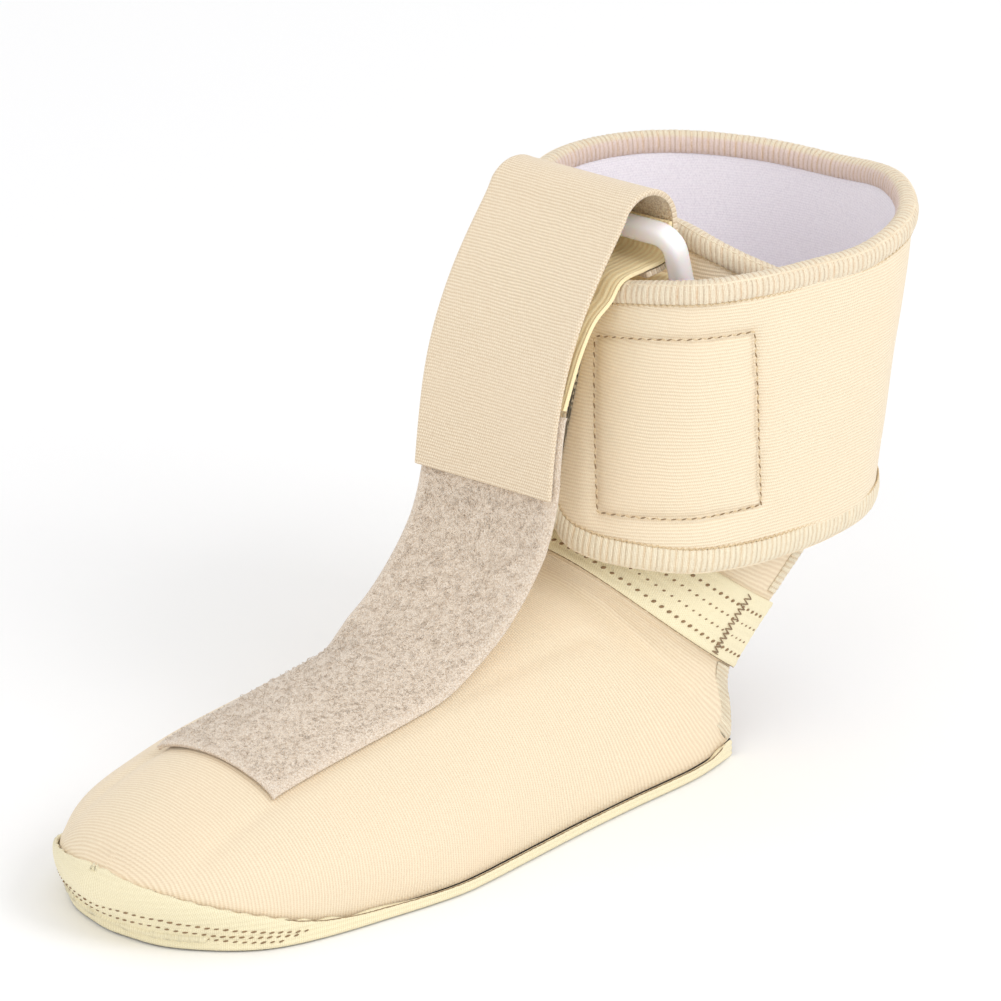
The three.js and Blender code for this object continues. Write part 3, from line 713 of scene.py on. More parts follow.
def laid_grid(
    name: str, points: np.ndarray, marks: np.ndarray, ring: bool = False
) -> bpy.types.Object:
    """A piece of faces laid over a grid of points.

    Args:
        name: the piece's name.
        points: places in millimetres, along by across.
        marks: cloth coordinates in millimetres for the UV map, along by across.
        ring: whether the last row across meets the first, with both ends filled.

    Returns:
        The object, whose faces point along the first axis cross the second.
    """
    mesh, i, j = grid_mesh(name, points * MM)
    corners = np.zeros(len(mesh.loops), int)
    mesh.loops.foreach_get("vertex_index", corners)
    layer = mesh.uv_layers.new(name=CLOTH_MAP)
    layer.uv.foreach_set("vector", marks[i, j][corners].ravel())
    form = bmesh.new()
    form.from_mesh(mesh)
    bmesh.ops.remove_doubles(form, verts=form.verts, dist=1e-6)
    if ring:
        rims = [edge for edge in form.edges if edge.is_boundary]
        bmesh.ops.holes_fill(form, edges=rims, sides=0)
        bmesh.ops.recalc_face_normals(form, faces=form.faces)
    form.to_mesh(mesh)
    form.free()
    return object_from(name, mesh)


def regrid(
    values: np.ndarray,
    rows: np.ndarray,
    columns: np.ndarray,
    new_rows: np.ndarray,
    new_columns: np.ndarray,
) -> np.ndarray:
    """Values of a coarse grid read at the lines of a finer one.

    Args:
        values: the coarse grid.
        rows: where its rows lie.
        columns: where its columns lie.
        new_rows: where the finer rows lie.
        new_columns: where the finer columns lie.

    Returns:
        The finer grid.
    """
    tall = np.stack([np.interp(new_rows, rows, column) for column in values.T], 1)
    return np.stack([np.interp(new_columns, columns, row) for row in tall])


@dataclass(frozen=True)
class Puff:
    """A short cloth simulation that swells a padded sheet between its seams.

    It runs on a coarse copy in centimetres, which is then removed.
    """

    pressure: float = 4.0
    frames: int = 20
    most: float = 1.2
    unit_size: float = 10.0
    stiffness: float = 60.0
    bending: float = 8.0

    def swell(self, points: np.ndarray, held: np.ndarray) -> np.ndarray:
        """How far each point of a sheet moves out of its face.

        Args:
            points: places in millimetres, along by across.
            held: from 0, free, to 1, fixed by a seam, for each point.

        Returns:
            Distances in millimetres.
        """
        mesh, i, j = grid_mesh("puff_trial", points / self.unit_size)
        trial = object_from("puff_trial", mesh)
        seams = trial.vertex_groups.new(name="seams")
        for index, share in enumerate(held[i, j]):
            seams.add([index], float(share), "REPLACE")
        cloth = trial.modifiers.new("cloth", "CLOTH")
        cloth.settings.quality = 5
        cloth.settings.vertex_group_mass = seams.name
        cloth.settings.use_pressure = True
        cloth.settings.uniform_pressure_force = self.pressure
        cloth.settings.tension_stiffness = self.stiffness
        cloth.settings.compression_stiffness = self.stiffness
        cloth.settings.shear_stiffness = self.stiffness / 3
        cloth.settings.bending_stiffness = self.bending
        cloth.settings.effector_weights.gravity = 0
        cloth.collision_settings.use_collision = False
        cloth.point_cache.frame_end = self.frames
        for frame in range(1, self.frames + 1):
            bpy.context.scene.frame_set(frame)
        settled = trial.evaluated_get(bpy.context.evaluated_depsgraph_get())
        places = np.zeros(len(i) * 3)
        settled.data.vertices.foreach_get("co", places)
        moved = np.zeros(points.shape)
        moved[i, j] = places.reshape(-1, 3) * self.unit_size - points[i, j]
        bpy.data.objects.remove(trial)
        bpy.context.scene.frame_set(1)
        out = np.sum(moved * normals_of(points), -1)
        LOG.info("simulated swell from %.2f to %.2f mm", out.min(), out.max())
        return self.most * np.tanh(out / self.most)


def thicken(piece: bpy.types.Object, wall: float, rim: float = 0.0) -> None:
    """Gives a sheet its wall, inward from its face.

    Args:
        piece: the sheet.
        wall: its thickness in millimetres.
        rim: width of the softened rims in millimetres, 0 for none.
    """
    solid = piece.modifiers.new("wall", "SOLIDIFY")
    solid.thickness = wall * MM
    solid.offset = -1
    solid.use_quality_normals = True
    if rim:
        soft = piece.modifiers.new("rim", "BEVEL")
        soft.limit_method = "ANGLE"
        soft.angle_limit = math.radians(55)
        soft.width = rim * MM
        soft.segments = 2
        soft.profile = 0.5


def repeated(name: str, form: bmesh.types.BMesh, places: np.ndarray) -> bpy.types.Object:
    """One small shape repeated at many places.

    Args:
        name: the piece's name.
        form: the shape, in millimetres. It is freed.
        places: 4 by 4 matrices in millimetres.

    Returns:
        One object with all the copies.
    """
    single = bpy.data.meshes.new(name + "_one")
    form.to_mesh(single)
    form.free()
    verts = np.zeros(len(single.vertices) * 3)
    single.vertices.foreach_get("co", verts)
    verts = np.c_[verts.reshape(-1, 3), np.ones(len(single.vertices))]
    corners = np.zeros(len(single.loops), int)
    single.loops.foreach_get("vertex_index", corners)
    starts = np.zeros(len(single.polygons), int)
    single.polygons.foreach_get("loop_start", starts)
    count = len(places)
    mesh = bpy.data.meshes.new(name)
    mesh.vertices.add(count * len(verts))
    mesh.vertices.foreach_set("co", (np.einsum("nij,vj->nvi", places, verts)[..., :3] * MM).ravel())
    mesh.loops.add(count * len(corners))
    turns = np.arange(count)[:, None]
    mesh.loops.foreach_set("vertex_index", (corners + turns * len(verts)).ravel())
    mesh.polygons.add(count * len(starts))
    mesh.polygons.foreach_set("loop_start", (starts + turns * len(corners)).ravel())
    mesh.update(calc_edges=True)
    bpy.data.meshes.remove(single)
    return object_from(name, mesh)


def placed(origins: np.ndarray, along: np.ndarray, out: np.ndarray, sizes: np.ndarray) -> np.ndarray:
    """Matrices that put a shape's X on along, its Z on out, and scale it.

    Args:
        origins: places in millimetres.
        along: directions of the shape's length.
        out: directions away from the cloth.
        sizes: scale along X, Y and Z for each place, or for all.

    Returns:
        4 by 4 matrices.
    """
    x = unit(along)
    y = unit(np.cross(out, x))
    z = np.cross(x, y)
    sizes = np.broadcast_to(sizes, origins.shape)
    result = np.zeros((len(origins), 4, 4))
    result[:, :3, 0] = x * sizes[:, :1]
    result[:, :3, 1] = y * sizes[:, 1:2]
    result[:, :3, 2] = z * sizes[:, 2:3]
    result[:, :3, 3] = origins
    result[:, 3, 3] = 1
    return result


def parts_of(geometry: list, kind: type) -> list:
    """The parts of one kind, vertices or edges, in what a mesh operation gave back."""
    return [part for part in geometry if isinstance(part, kind)]


def thread_bead() -> bmesh.types.BMesh:
    """A short length of thread, its length along X.

    Returns:
        A ball of radius one, which its place draws out.
    """
    form = bmesh.new()
    turn = Matrix.Rotation(math.radians(90), 4, "Y")
    bmesh.ops.create_uvsphere(form, u_segments=6, v_segments=4, radius=1.0, matrix=turn)
    return form


def thread_loop() -> bmesh.types.BMesh:
    """A small open loop of pile thread.

    Returns:
        Half a ring of radius one that stands on its two ends.
    """
    form = bmesh.new()
    thickness = 0.17
    quarter = Matrix.Rotation(math.radians(90), 4, "X")
    place = Matrix.Translation((1, 0, 0))
    made = bmesh.ops.create_circle(form, segments=3, radius=thickness, matrix=place)
    edges = list({edge for vert in made["verts"] for edge in vert.link_edges})
    bmesh.ops.transform(form, matrix=quarter @ place @ quarter @ place.inverted(), verts=form.verts)
    bmesh.ops.spin(
        form, geom=[*form.verts, *edges], cent=(0, 0, 0), axis=(0, 1, 0), dvec=(0, 0, 0),
        angle=-math.pi, steps=4, use_merge=False, use_duplicate=False,
    )
    bmesh.ops.recalc_face_normals(form, faces=form.faces)
    return form


def linear(colour: tuple[int, int, int]) -> tuple[float, float, float, float]:
    """The shader's linear colour for a screen colour.

    Args:
        colour: red, green and blue from 0 to 255.

    Returns:
        Red, green, blue and alpha from 0 to 1.
    """
    shares = [c / 255 for c in colour]
    parts = [s / 12.92 if s <= 0.04045 else ((s + 0.055) / 1.055) ** 2.4 for s in shares]
    return (*parts, 1.0)


class Axis(enum.Enum):
    """Direction of a pattern in the cloth's UV map."""

    ALONG = "X"
    ACROSS = "Y"


class Recipe:
    """Builds one material's nodes."""

    def __init__(self, name: str) -> None:
        """Starts a material with a shader and its output.

        Args:
            name: the material's name.
        """
        self.material = bpy.data.materials.new(name)
        self.material.use_nodes = True
        self.tree = self.material.node_tree
        self.tree.nodes.clear()
        self.shader = self.tree.nodes.new("ShaderNodeBsdfPrincipled")
        out = self.tree.nodes.new("ShaderNodeOutputMaterial")
        self.tree.links.new(self.shader.outputs[0], out.inputs[0])

    def feed(self, socket: bpy.types.NodeSocket, value: object) -> None:
        """Puts a value on a socket.

        Args:
            socket: the input.
            value: a number, a colour or another node's output.
        """
        if isinstance(value, bpy.types.NodeSocket):
            self.tree.links.new(value, socket)
        else:
            socket.default_value = value

    def look(self, **values: object) -> None:
        """Puts values on the shader's inputs.

        Args:
            values: for each input, its name with underscores for the spaces, and its value.
        """
        for name, value in values.items():
            self.feed(self.shader.inputs[name.replace("_", " ")], value)

    def math(self, operation: str, first: object, second: object = 0.0) -> bpy.types.NodeSocket:
        """Result of one sum.

        Args:
            operation: the node's operation.
            first: the first number or output.
            second: the second one.

        Returns:
            The output.
        """
        node = self.tree.nodes.new("ShaderNodeMath")
        node.operation = operation
        self.feed(node.inputs[0], first)
        self.feed(node.inputs[1], second)
        return node.outputs[0]

    def times(self, value: object, factor: object) -> bpy.types.NodeSocket:
        """Product of two values."""
        return self.math("MULTIPLY", value, factor)

    def total(self, *values: object) -> bpy.types.NodeSocket:
        """Sum of two or more values."""
        return functools.reduce(functools.partial(self.math, "ADD"), values)

    def rest(self, value: object) -> bpy.types.NodeSocket:
        """What a value lacks to 1."""
        return self.math("SUBTRACT", 1.0, value)

    def over(self, value: object, level: float, factor: float) -> bpy.types.NodeSocket:
        """How far a value lies over a level, times a factor."""
        return self.times(self.math("SUBTRACT", value, level), factor)

    def clamped(self, value: object, most: float = 1.0) -> bpy.types.NodeSocket:
        """A value held between 0 and the most."""
        return self.math("MINIMUM", self.math("MAXIMUM", value, 0.0), most)

    def cloth(self) -> tuple[bpy.types.NodeSocket, bpy.types.NodeSocket]:
        """The cloth's two coordinates.

        Returns:
            The first and the second coordinate, in millimetres.
        """
        node = self.tree.nodes.new("ShaderNodeUVMap")
        node.uv_map = CLOTH_MAP
        split = self.tree.nodes.new("ShaderNodeSeparateXYZ")
        self.tree.links.new(node.outputs[0], split.inputs[0])
        return split.outputs[0], split.outputs[1]

    def grain(self, size: float, detail: float = 2.0) -> bpy.types.NodeSocket:
        """Noise over the object.

        Args:
            size: about how wide one cloud is, in millimetres.
            detail: how many finer noises it has.

        Returns:
            An output of about 0 to 1.
        """
        place = self.tree.nodes.new("ShaderNodeTexCoord")
        node = self.tree.nodes.new("ShaderNodeTexNoise")
        self.tree.links.new(place.outputs["Object"], node.inputs["Vector"])
        node.inputs["Scale"].default_value = 1 / (size * MM)
        node.inputs["Detail"].default_value = detail
        return node.outputs[0]

    def wave(
        self, coordinate: bpy.types.NodeSocket, pitch: float, shift: object = 0.0
    ) -> bpy.types.NodeSocket:
        """Ridges over one coordinate.

        Args:
            coordinate: the coordinate, in millimetres.
            pitch: distance from ridge to ridge.
            shift: where the wave starts, as an angle.

        Returns:
            An output from 0 in the valleys to 1.
        """
        turns = self.times(coordinate, 2 * math.pi / pitch)
        swing = self.math("SINE", self.total(turns, shift))
        return self.total(self.times(swing, 0.5), 0.5)

    def mix(self, share: object, first: object, second: object) -> bpy.types.NodeSocket:
        """A colour between two.

        Args:
            share: the second colour's share.
            first: the first colour.
            second: the second colour.

        Returns:
            The mixed colour.
        """
        node = self.tree.nodes.new("ShaderNodeMix")
        node.data_type = "RGBA"
        self.feed(node.inputs[0], share)
        self.feed(node.inputs[6], first)
        self.feed(node.inputs[7], second)
        return node.outputs[2]

    def bump(self, height: bpy.types.NodeSocket, depth: float) -> None:
        """Raises the surface.

        Args:
            height: the relief, from 0 to 1.
            depth: its height in millimetres.
        """
        node = self.tree.nodes.new("ShaderNodeBump")
        node.inputs["Strength"].default_value = 1.0
        node.inputs["Distance"].default_value = depth * MM
        self.tree.links.new(height, node.inputs["Height"])
        self.tree.links.new(node.outputs[0], self.shader.inputs["Normal"])


@dataclass(frozen=True)
class Knit:
    """A knitted or woven cloth with fine ridges.

    The ridges lie across the axis, a pitch apart, and the cross stitches break them up. The valley colour
    is painted shade between the ridges and in the gaps between stitches.
    """

    name: str
    light: tuple[int, int, int]
    valley: tuple[int, int, int]
    pitch: float = 0.9
    depth: float = 0.16
    share: float = 0.45
    cross_pitch: float = 0.6
    cross_share: float = 0.2
    axis: Axis = Axis.ALONG
    mottle: float = 0.10
    tint: tuple[int, int, int] = (250, 222, 190)
    roughness: float = 0.86
    sheen: float = 0.25
    fuzz: float = 0.12
    drift: float = 0.9
    drift_size: float = 9.0
    fibre_size: float = 0.55
    patch_size: float = 26.0
    patch_from: float = 0.42

    def material(self) -> bpy.types.Material:
        """The cloth as a material.

        Returns:
            The material.
        """
        recipe = Recipe(self.name)
        u, v = recipe.cloth()
        if self.axis is Axis.ACROSS:
            u, v = v, u
        u = recipe.total(u, recipe.times(recipe.grain(self.drift_size), self.drift))
        ridge = recipe.wave(u, self.pitch)
        row = recipe.math("FLOOR", recipe.math("DIVIDE", u, self.pitch))
        stitch = recipe.wave(v, self.cross_pitch, recipe.times(row, math.pi))
        fibre = recipe.grain(self.fibre_size, 3.0)
        # painted shade: the cloth darkens towards the valley colour between the ridges and in the gaps
        # between cross stitches; the fibre noise adds random tone
        low = recipe.times(recipe.rest(ridge), self.share)
        gaps = recipe.times(recipe.rest(stitch), self.cross_share)
        hairs = recipe.over(fibre, 0.5, 4 * self.fuzz)
        dark = recipe.clamped(recipe.total(low, gaps, hairs))
        cloth = recipe.mix(dark, linear(self.light), linear(self.valley))
        patch = recipe.over(recipe.grain(self.patch_size), self.patch_from, 6 * self.mottle)
        recipe.look(
            Base_Color=recipe.mix(recipe.clamped(patch), cloth, linear(self.tint)),
            Roughness=recipe.total(recipe.times(fibre, 0.12), self.roughness - 0.06),
            Sheen_Weight=self.sheen,
            Sheen_Roughness=0.45,
            Specular_IOR_Level=0.25,
        )
        parts = (ridge, 0.6), (stitch, 0.2), (fibre, 0.2)
        recipe.bump(recipe.total(*(recipe.times(part, share) for part, share in parts)), self.depth)
        return recipe.material


@dataclass(frozen=True)
class Pile:
    """A brushed loop pile with bright and dark fibres."""

    name: str
    light: tuple[int, int, int]
    dark: tuple[int, int, int]
    fleck: tuple[int, int, int]
    depth: float = 0.5
    tuft_size: float = 0.5
    hair_size: float = 0.26

    def material(self) -> bpy.types.Material:
        """The pile as a material.

        Returns:
            The material.
        """
        recipe = Recipe(self.name)
        tuft = recipe.grain(self.tuft_size, 3.0)
        hair = recipe.grain(self.hair_size)
        shade = recipe.clamped(recipe.over(tuft, 0.36, 3.4))
        spark = recipe.clamped(recipe.over(hair, 0.55, 5.0), 0.8)
        cloth = recipe.mix(shade, linear(self.dark), linear(self.light))
        recipe.look(
            Base_Color=recipe.mix(spark, cloth, linear(self.fleck)),
            Roughness=recipe.total(recipe.times(hair, 0.3), 0.6),
            Sheen_Weight=0.5,
            Sheen_Roughness=0.35,
        )
        recipe.bump(recipe.total(tuft, recipe.times(hair, 0.6)), self.depth)
        return recipe.material


@dataclass(frozen=True)
class Thread:
    """Sewing thread, wound over an edge or laid in stitches, with painted shade between its wraps."""

    name: str
    light: tuple[int, int, int]
    valley: tuple[int, int, int]
    pitch: float = 1.65
    share: float = 0.7
    strand_share: float = 0.25
    depth: float = 0.12
    inner_light: tuple[int, int, int] | None = None
    inner_from: float = 9.0
    fibre_size: float = 0.4

    def material(self) -> bpy.types.Material:
        """The thread as a material, whose wraps lie across the map's first coordinate.

        Returns:
            The material.
        """
        recipe = Recipe(self.name)
        u, v = recipe.cloth()
        wrap = recipe.wave(u, self.pitch, -math.pi / 2)
        bent = recipe.total(u, recipe.times(recipe.grain(2.5), 0.5))
        strand = recipe.wave(bent, self.pitch / 4)
        fibre = recipe.grain(self.fibre_size, 3.0)
        # painted shade: the thread darkens towards the valley colour between its wraps and strands; the
        # fibre noise adds random tone
        low = recipe.times(recipe.math("POWER", recipe.rest(wrap), 2.2), self.share)
        thin = recipe.times(recipe.rest(strand), self.strand_share)
        dark = recipe.clamped(recipe.total(low, thin, recipe.over(fibre, 0.5, 0.7)))
        light = linear(self.light)
        if self.inner_light:
            inner = recipe.clamped(recipe.math("SUBTRACT", v, self.inner_from))
            light = recipe.mix(inner, light, linear(self.inner_light))
        recipe.look(
            Base_Color=recipe.mix(dark, light, linear(self.valley)),
            Roughness=recipe.total(recipe.times(fibre, 0.2), 0.6),
            Sheen_Weight=0.2,
        )
        recipe.bump(recipe.total(strand, recipe.times(fibre, 0.4)), self.depth)
        return recipe.material


@dataclass(frozen=True)
class Moulding:
    """A moulded or cut solid material: ring plastic, sole sheet."""

    name: str
    light: tuple[int, int, int]
    dark: tuple[int, int, int]
    grain: float = 6.0
    roughness: float = 0.25
    depth: float = 0.02
    coat: float = 0.0
    milkiness: float = 0.0

    def material(self) -> bpy.types.Material:
        """The solid material with a faint grain.

        Returns:
            The material.
        """
        recipe = Recipe(self.name)
        cloud = recipe.grain(self.grain, 3.0)
        recipe.look(
            Base_Color=recipe.mix(cloud, linear(self.light), linear(self.dark)),
            Roughness=recipe.total(recipe.times(cloud, 0.12), self.roughness - 0.06),
            Subsurface_Weight=self.milkiness,
            Subsurface_Scale=0.003,
            Coat_Weight=self.coat,
            Coat_Roughness=0.12,
        )
        recipe.bump(recipe.grain(self.grain / 8), self.depth)
        return recipe.material


class Finishes:
    """Every finish of the brace, made once."""

    def __init__(self) -> None:
        """Makes the materials."""
        self.upper = Knit(
            "upper_knit", (248, 233, 205), (216, 190, 156), pitch=0.88, share=0.42, depth=0.14,
        ).material()
        self.cuff = Knit(
            "cuff_knit", (249, 235, 208), (220, 196, 162), pitch=0.92, share=0.42, axis=Axis.ACROSS,
        ).material()
        self.lining = Knit(
            "lining_knit", (252, 248, 254), (222, 216, 228), pitch=0.7, share=0.14, cross_pitch=0.7,
            cross_share=0.14, tint=(240, 236, 246), axis=Axis.ACROSS, depth=0.06, fuzz=0.3,
        ).material()
        self.band = Knit(
            "band_elastic", (250, 241, 208), (216, 200, 156), pitch=0.62, share=0.35, cross_pitch=0.62,
            tint=(250, 236, 202), depth=0.1,
        ).material()
        self.strap = Knit(
            "strap_weave", (251, 237, 213), (214, 190, 158), pitch=0.86, share=0.5, cross_pitch=0.7,
            cross_share=0.5, tint=(242, 222, 194), depth=0.16, fuzz=0.2,
        ).material()
        self.webbing = Knit(
            "elastic_webbing", (255, 240, 196), (232, 196, 136), pitch=1.6, share=0.4, cross_pitch=0.5,
            cross_share=0.2, tint=(250, 228, 180), axis=Axis.ACROSS, depth=0.15,
        ).material()
        self.pile = Pile("loop_pile", (250, 234, 214), (218, 196, 172), (255, 250, 242)).material()
        self.hooks = Pile("hook_face", (246, 226, 188), (196, 162, 116), (255, 246, 222), 0.6).material()
        self.edge_thread = Thread("edge_thread", (254, 243, 216), (214, 182, 138), share=0.42).material()
        self.rim_thread = Thread(
            "rim_thread", (255, 244, 218), (212, 178, 140), share=0.42, strand_share=0.4,
            inner_light=(252, 232, 226),
        ).material()
        # dark thread for stitches and tacks; the same finish also draws the painted shade in the band's
        # holes and the painted shadow lines along the band and the binding
        self.dark_thread_and_shade = Thread("dark_thread_and_shade", (182, 150, 108), (138, 110, 76)).material()
        self.pale_thread = Thread("pale_thread", (250, 238, 208), (214, 188, 146)).material()
        self.plastic = Moulding(
            "ring_plastic", (255, 254, 255), (251, 251, 253), coat=0.3, milkiness=0.5,
        ).material()
        self.sole = Moulding(
            "sole_sheet", (70, 64, 58), (44, 40, 38), grain=2.0, roughness=0.9, depth=0.15,
        ).material()


def finish_piece(
    piece: bpy.types.Object, slot: str, *materials: bpy.types.Material, replaces: tuple[str, ...] = ()
) -> bpy.types.Object:
    """Gives a piece its materials and its place on the part.

    Args:
        piece: the new piece.
        slot: not used.
        materials: the piece's materials, the first for its face.
        replaces: CAD nodes that the piece stands for.

    Returns:
        The same piece.
    """
    piece.data.materials.clear()
    for material in materials:
        piece.data.materials.append(material)
    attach(piece, "root")
    if replaces:
        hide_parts(*replaces)
    LOG.info("%s: %d vertices", piece.name, len(piece.data.vertices))
    return piece


@dataclass
class Overlock:
    """Thread wound over a raw edge: a flat sleeve round the edge, with a ridge for each wrap."""

    width: float = 5.6
    wall: float = CUFF_WALL + GAP + LINING_WALL
    lift: float = 0.35
    pitch: float = 1.65
    relief: float = 0.26
    crown: float = 0.5
    stand: float = 0.3
    steps: int = 6
    seed: int = 1
    bare: float = 0.1
    lean: float = 0.03
    nudge: float = 0.12
    puff: tuple[float, ...] = (0.2, 0.8, 1, 0)
    border_dip: float = 0.9
    flat_share: float = 0.94

    def _profile(self, radius: float) -> tuple[np.ndarray, int]:
        """Section of the sleeve, from its border on the outer face round the edge and back inside.

        Args:
            radius: radius of the turn round the edge.

        Returns:
            Points as (inward, out), and how many of them show.
        """
        border, near = self.width, self.width * self.flat_share
        dip = self.lift * self.border_dip
        outer = [(border, -dip)] + [(a, 0.0) for a in np.linspace(near, radius, 7)]
        bend = np.radians(np.linspace(0, 180, 9))[1:-1]
        corner = [(radius * (1 - math.sin(b)), -radius * (1 - math.cos(b))) for b in bend]
        inner = [(a, -2 * radius) for a in np.linspace(radius, near, 5)]
        inner.append((border, -2 * radius + dip))
        low, high = -2 * radius + self.lift + self.bare, -self.lift - self.bare
        inside = [(border * 0.9, low), (radius, low), (radius, high), (border * 0.9, high)]
        shown = len(outer) + len(corner) + len(inner)
        return np.array(outer + corner + inner + inside + outer[:1]), shown

    def build(
        self, name: str, rim: np.ndarray, inward: np.ndarray, out: np.ndarray
    ) -> bpy.types.Object:
        """Builds the sleeve.

        Args:
            name: the piece's name.
            rim: points of the cloth's outer face along its edge, in millimetres.
            inward: directions from the edge into the cloth.
            out: directions out of the cloth's outer face.

        Returns:
            The sleeve.
        """
        length = lengths_along(rim)[-1]
        where = np.linspace(0, length, int(length / self.pitch * self.steps))
        inward, out = (unit(read_along(rim, where, way)) for way in (inward, out))
        rim = read_along(rim, where, rim)
        radius = self.wall / 2 + self.lift
        profile, worked = self._profile(radius)
        draws = np.random.default_rng(self.seed)
        wraps = int(length / self.pitch) + 3
        strength = draws.uniform(0.65, 1.0, wraps)
        nudge = draws.uniform(-self.nudge, self.nudge, wraps)
        way = unit(np.gradient(profile, axis=0))
        normal = np.stack([way[:, 1], -way[:, 0]], -1)
        around = lengths_along(profile)
        phase = where[:, None] / self.pitch + (around * self.lean)[None, :]
        turn = np.clip(phase.astype(int), 0, wraps - 2)
        phase = phase + nudge[turn]
        ridge = np.abs(np.sin(np.pi * phase)) ** 0.7 * strength[turn]
        knots = [0, radius, (radius + self.width) / 2, self.width]
        puff = np.interp(profile[:, 0], knots, self.puff)
        height = self.relief * ridge + self.crown * puff
        height[:, worked:] = 0
        a = profile[:, 0] + normal[:, 0] * height - self.stand
        b = profile[:, 1] + normal[:, 1] * height + self.lift
        points = rim[:, None] + inward[:, None] * a[..., None] + out[:, None] * b[..., None]
        marks = np.stack([phase * self.pitch, np.broadcast_to(around, phase.shape)], -1)
        return laid_grid(name, points, marks, ring=True)


@dataclass
class StitchRow:
    """A row of stitches laid on cloth; also used for rows of dark beads of painted shade."""

    length: float = 1.7
    thickness: float = 0.42
    pitch: float = 2.7
    slant: float = 0.18
    lift: float = 0.1
    seed: int = 3

    def places(self, line: np.ndarray, out: np.ndarray, shift: float = 0.0) -> np.ndarray:
        """Matrices for the stitches along a line.

        Args:
            line: points in millimetres.
            out: directions out of the cloth at those points.
            shift: start of the first stitch, in pitches.

        Returns:
            One 4 by 4 matrix for each stitch.
        """
        where = np.arange(self.pitch * (0.5 + shift), lengths_along(line)[-1], self.pitch)
        along = read_along(line, where, np.gradient(line, axis=0))
        middle, out = read_along(line, where, line), unit(read_along(line, where, out))
        draws = np.random.default_rng(self.seed)
        side = np.cross(out, unit(along))
        tilt = self.slant + draws.uniform(-0.08, 0.08, len(where))
        along = unit(along) + side * tilt[:, None]
        sizes = np.array([self.length / 2, self.thickness / 2, self.thickness / 2])
        sizes = sizes * draws.uniform(0.85, 1.1, (len(where), 1))
        return placed(middle + out * self.lift, along, out, sizes)


def sew(name: str, places: list[np.ndarray], slot: str, look: bpy.types.Material) -> None:
    """Makes one piece of all the stitches of a kind, or of the dark beads of painted shade.

    Args:
        name: the piece's name.
        places: lists of 4 by 4 matrices, as StitchRow gives them.
        slot: not used; passed on to finish_piece.
        look: the thread.
    """
    finish_piece(repeated(name, thread_bead(), np.concatenate(places)), slot, look)


